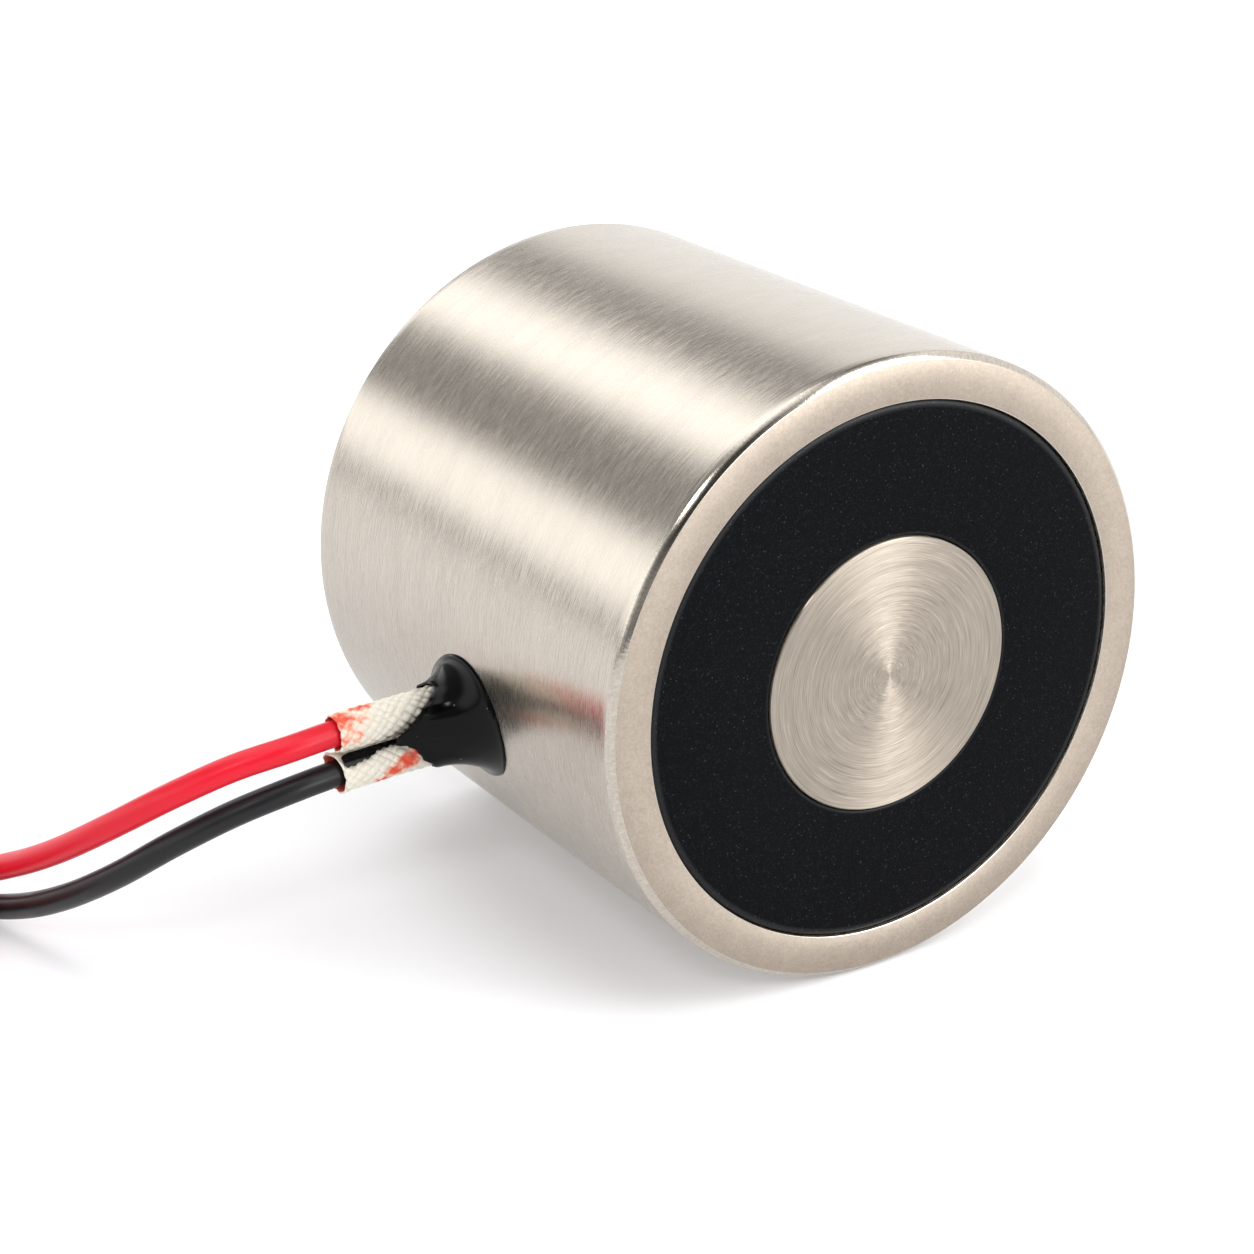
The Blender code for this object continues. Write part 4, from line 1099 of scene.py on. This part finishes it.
            # The mouth is cut by hand: the yarns' ends stand unevenly, and the lower sleeve's have opened
            end = max(0, 1 + along / FRAY_DEPTH)
            if side < 0:
                around = atan2(vert.co.y, vert.co.x)
                behind = max(0, cos(around - radians(125))) ** 2
                share += end * end * (0.045 + 0.085 * (0.5 - 0.5 * sin(around + 0.5)) + 0.12 * behind)
                vert.co.z += 0.0006 * end * behind
            vert.co.x *= share
            vert.co.y *= share
            vert.co.z += end * (0.00016 * (rise - 0.9) + 0.00005 * sin(5 * across / MM) * sin(4 * up / MM))


class MAGNET_OT_tips(bpy.types.Operator):
    """Twists the tinned strands at the leads' ends, and softens the band round the coil"""

    bl_idname = "magnet.tips"
    bl_label = "Tips and Band"

    def execute(self, context):
        # Tinned copper strands: soft silver, a little uneven from the solder
        tinned = build_inner("tinned copper strands", linear("DADAD6"), 0.28, 1.0, 0.5, 0.01)
        for name, (start, end) in TIPS.items():
            mesh = self.strands(Vector(start) * MM, Vector(end) * MM)
            tip = add_piece(name + "_tip_strands", mesh, "tinned_solder", tinned)
            shade(tip, radians(60))
            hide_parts(name + "_lead_tip")
        mesh = bmesh.new()
        mesh.from_mesh(nodes["coil_tie"].data)
        mesh.transform(nodes["coil_tie"].matrix_world)
        bmesh.ops.remove_doubles(mesh, verts=mesh.verts, dist=1e-6)
        bmesh.ops.dissolve_limit(mesh, angle_limit=radians(1), verts=mesh.verts, edges=mesh.edges)
        sharp = [edge for edge in mesh.edges if edge.calc_face_angle(0) > radians(40)]
        bmesh.ops.bevel(
            mesh, geom=sharp, offset=0.00008, offset_type="OFFSET", segments=2, profile=0.5,
            affect="EDGES", material=-1,
        )
        # Pulled tight on the leads, which lie closer in than the solid that stands for them
        out = Vector((cos(TIE_ANGLE), sin(TIE_ANGLE), 0))
        for vert in mesh.verts:
            if (vert.co - COIL_CENTRE).dot(out) > COIL_RADIUS - LEAD_RADIUS:
                vert.co -= out * TIE_SLACK
        # Moulded nylon: matt, slightly clouded
        nylon = build_inner("moulded nylon band", linear("E4DECE"), 0.45, 0.0, 1.2, 0.02)
        band = add_piece("coil_band", mesh, "nylon", nylon)
        shade(band)
        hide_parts("coil_tie")
        return {"FINISHED"}

    def strands(self, start, end):
        """Seven strands twisted into a rod, one turn in 8 mm, with the end cut square."""
        facing = (end - start).to_track_quat("Z", "Y").to_matrix().to_4x4()
        place = Matrix.Translation(start) @ facing
        length = (end - start).length
        rows, sides, lay = 30, 56, 0.008
        rings = []
        for step in range(rows + 1):
            along = length * step / rows
            turn = 2 * pi * along / lay
            ring = []
            for i in range(sides):
                angle = 2 * pi * i / sides
                radius = TIP_RADIUS * (0.84 + 0.16 * sqrt(abs(sin(3.5 * angle))))
                spot = (radius * cos(angle + turn), radius * sin(angle + turn), along)
                ring.append(place @ Vector(spot))
            rings.append(ring)
        return bridge(rings)


class MAGNET_OT_inside(bpy.types.Operator):
    """Gives the pieces inside the cup their finishes"""

    bl_idname = "magnet.inside"
    bl_label = "Inner Pieces"

    def execute(self, context):
        copper = linear("B0602E")
        # Nylon bobbin: matt, slightly clouded
        moulded = build_inner("moulded nylon", linear("D9D3C2"), 0.5, 0.0, 1.2, 0.02)
        # Winding: lacquered copper, with the turns of wire in relief and painted shade between them
        wound = build_inner("wound enamelled copper", copper, 0.3, 1.0, 2.0, 0.08, turns=True)
        # Single lacquered wires
        wire = build_inner("enamelled copper wire", copper, 0.28, 1.0, 0.8, 0.01)
        # Amber tape: half gloss, with small wrinkles
        taped = build_inner("polyester tape", linear("E5C65A"), 0.35, 0.0, 1.5, 0.03)
        # Solder: bright grey, lumpy where it froze
        solder = build_inner("soft solder", linear("D2D2D0"), 0.3, 1.0, 0.6, 0.03)
        for finish, names in (
            (moulded, ["coil_bobbin"]),
            (wound, ["coil_winding"]),
            (wire, ["start_wire", "finish_wire"]),
            (taped, ["winding_tape", "start_wire_sleeve"]),
            (solder, ["red_solder_joint", "black_solder_joint"]),
        ):
            for name in names:
                data = nodes[name].data
                data.materials.clear()
                data.materials.append(finish)
        return {"FINISHED"}


OPERATORS = (
    MAGNET_OT_stage,
    MAGNET_OT_cup,
    MAGNET_OT_core,
    MAGNET_OT_resin,
    MAGNET_OT_seal,
    MAGNET_OT_sleeves,
    MAGNET_OT_tips,
    MAGNET_OT_leads,
    MAGNET_OT_inside,
)


class MAGNET_PT_pieces(bpy.types.Panel):
    """Lists the magnet's pieces, sizes and colours"""

    bl_idname = "MAGNET_PT_pieces"
    bl_label = "Holding Electromagnet"
    bl_space_type = "VIEW_3D"
    bl_region_type = "UI"
    bl_category = "Electromagnet"

    def draw(self, context):
        for group in (context.scene.magnet_sizes, context.scene.magnet_colours):
            for name in group.__annotations__:
                self.layout.prop(group, name)
        for operator in OPERATORS:
            self.layout.operator(operator.bl_idname)


CLASSES = (MagnetColours, MagnetSizes, *OPERATORS, MAGNET_PT_pieces)


def register():
    for made in CLASSES:
        bpy.utils.register_class(made)
    bpy.types.Scene.magnet_colours = bpy.props.PointerProperty(type=MagnetColours)
    bpy.types.Scene.magnet_sizes = bpy.props.PointerProperty(type=MagnetSizes)


def unregister():
    del bpy.types.Scene.magnet_sizes
    del bpy.types.Scene.magnet_colours
    for made in reversed(CLASSES):
        bpy.utils.unregister_class(made)


def main():
    register()
    for operator in OPERATORS:
        category, name = operator.bl_idname.split(".")
        getattr(getattr(bpy.ops, category), name)()


if __name__ == "__main__":
    main()
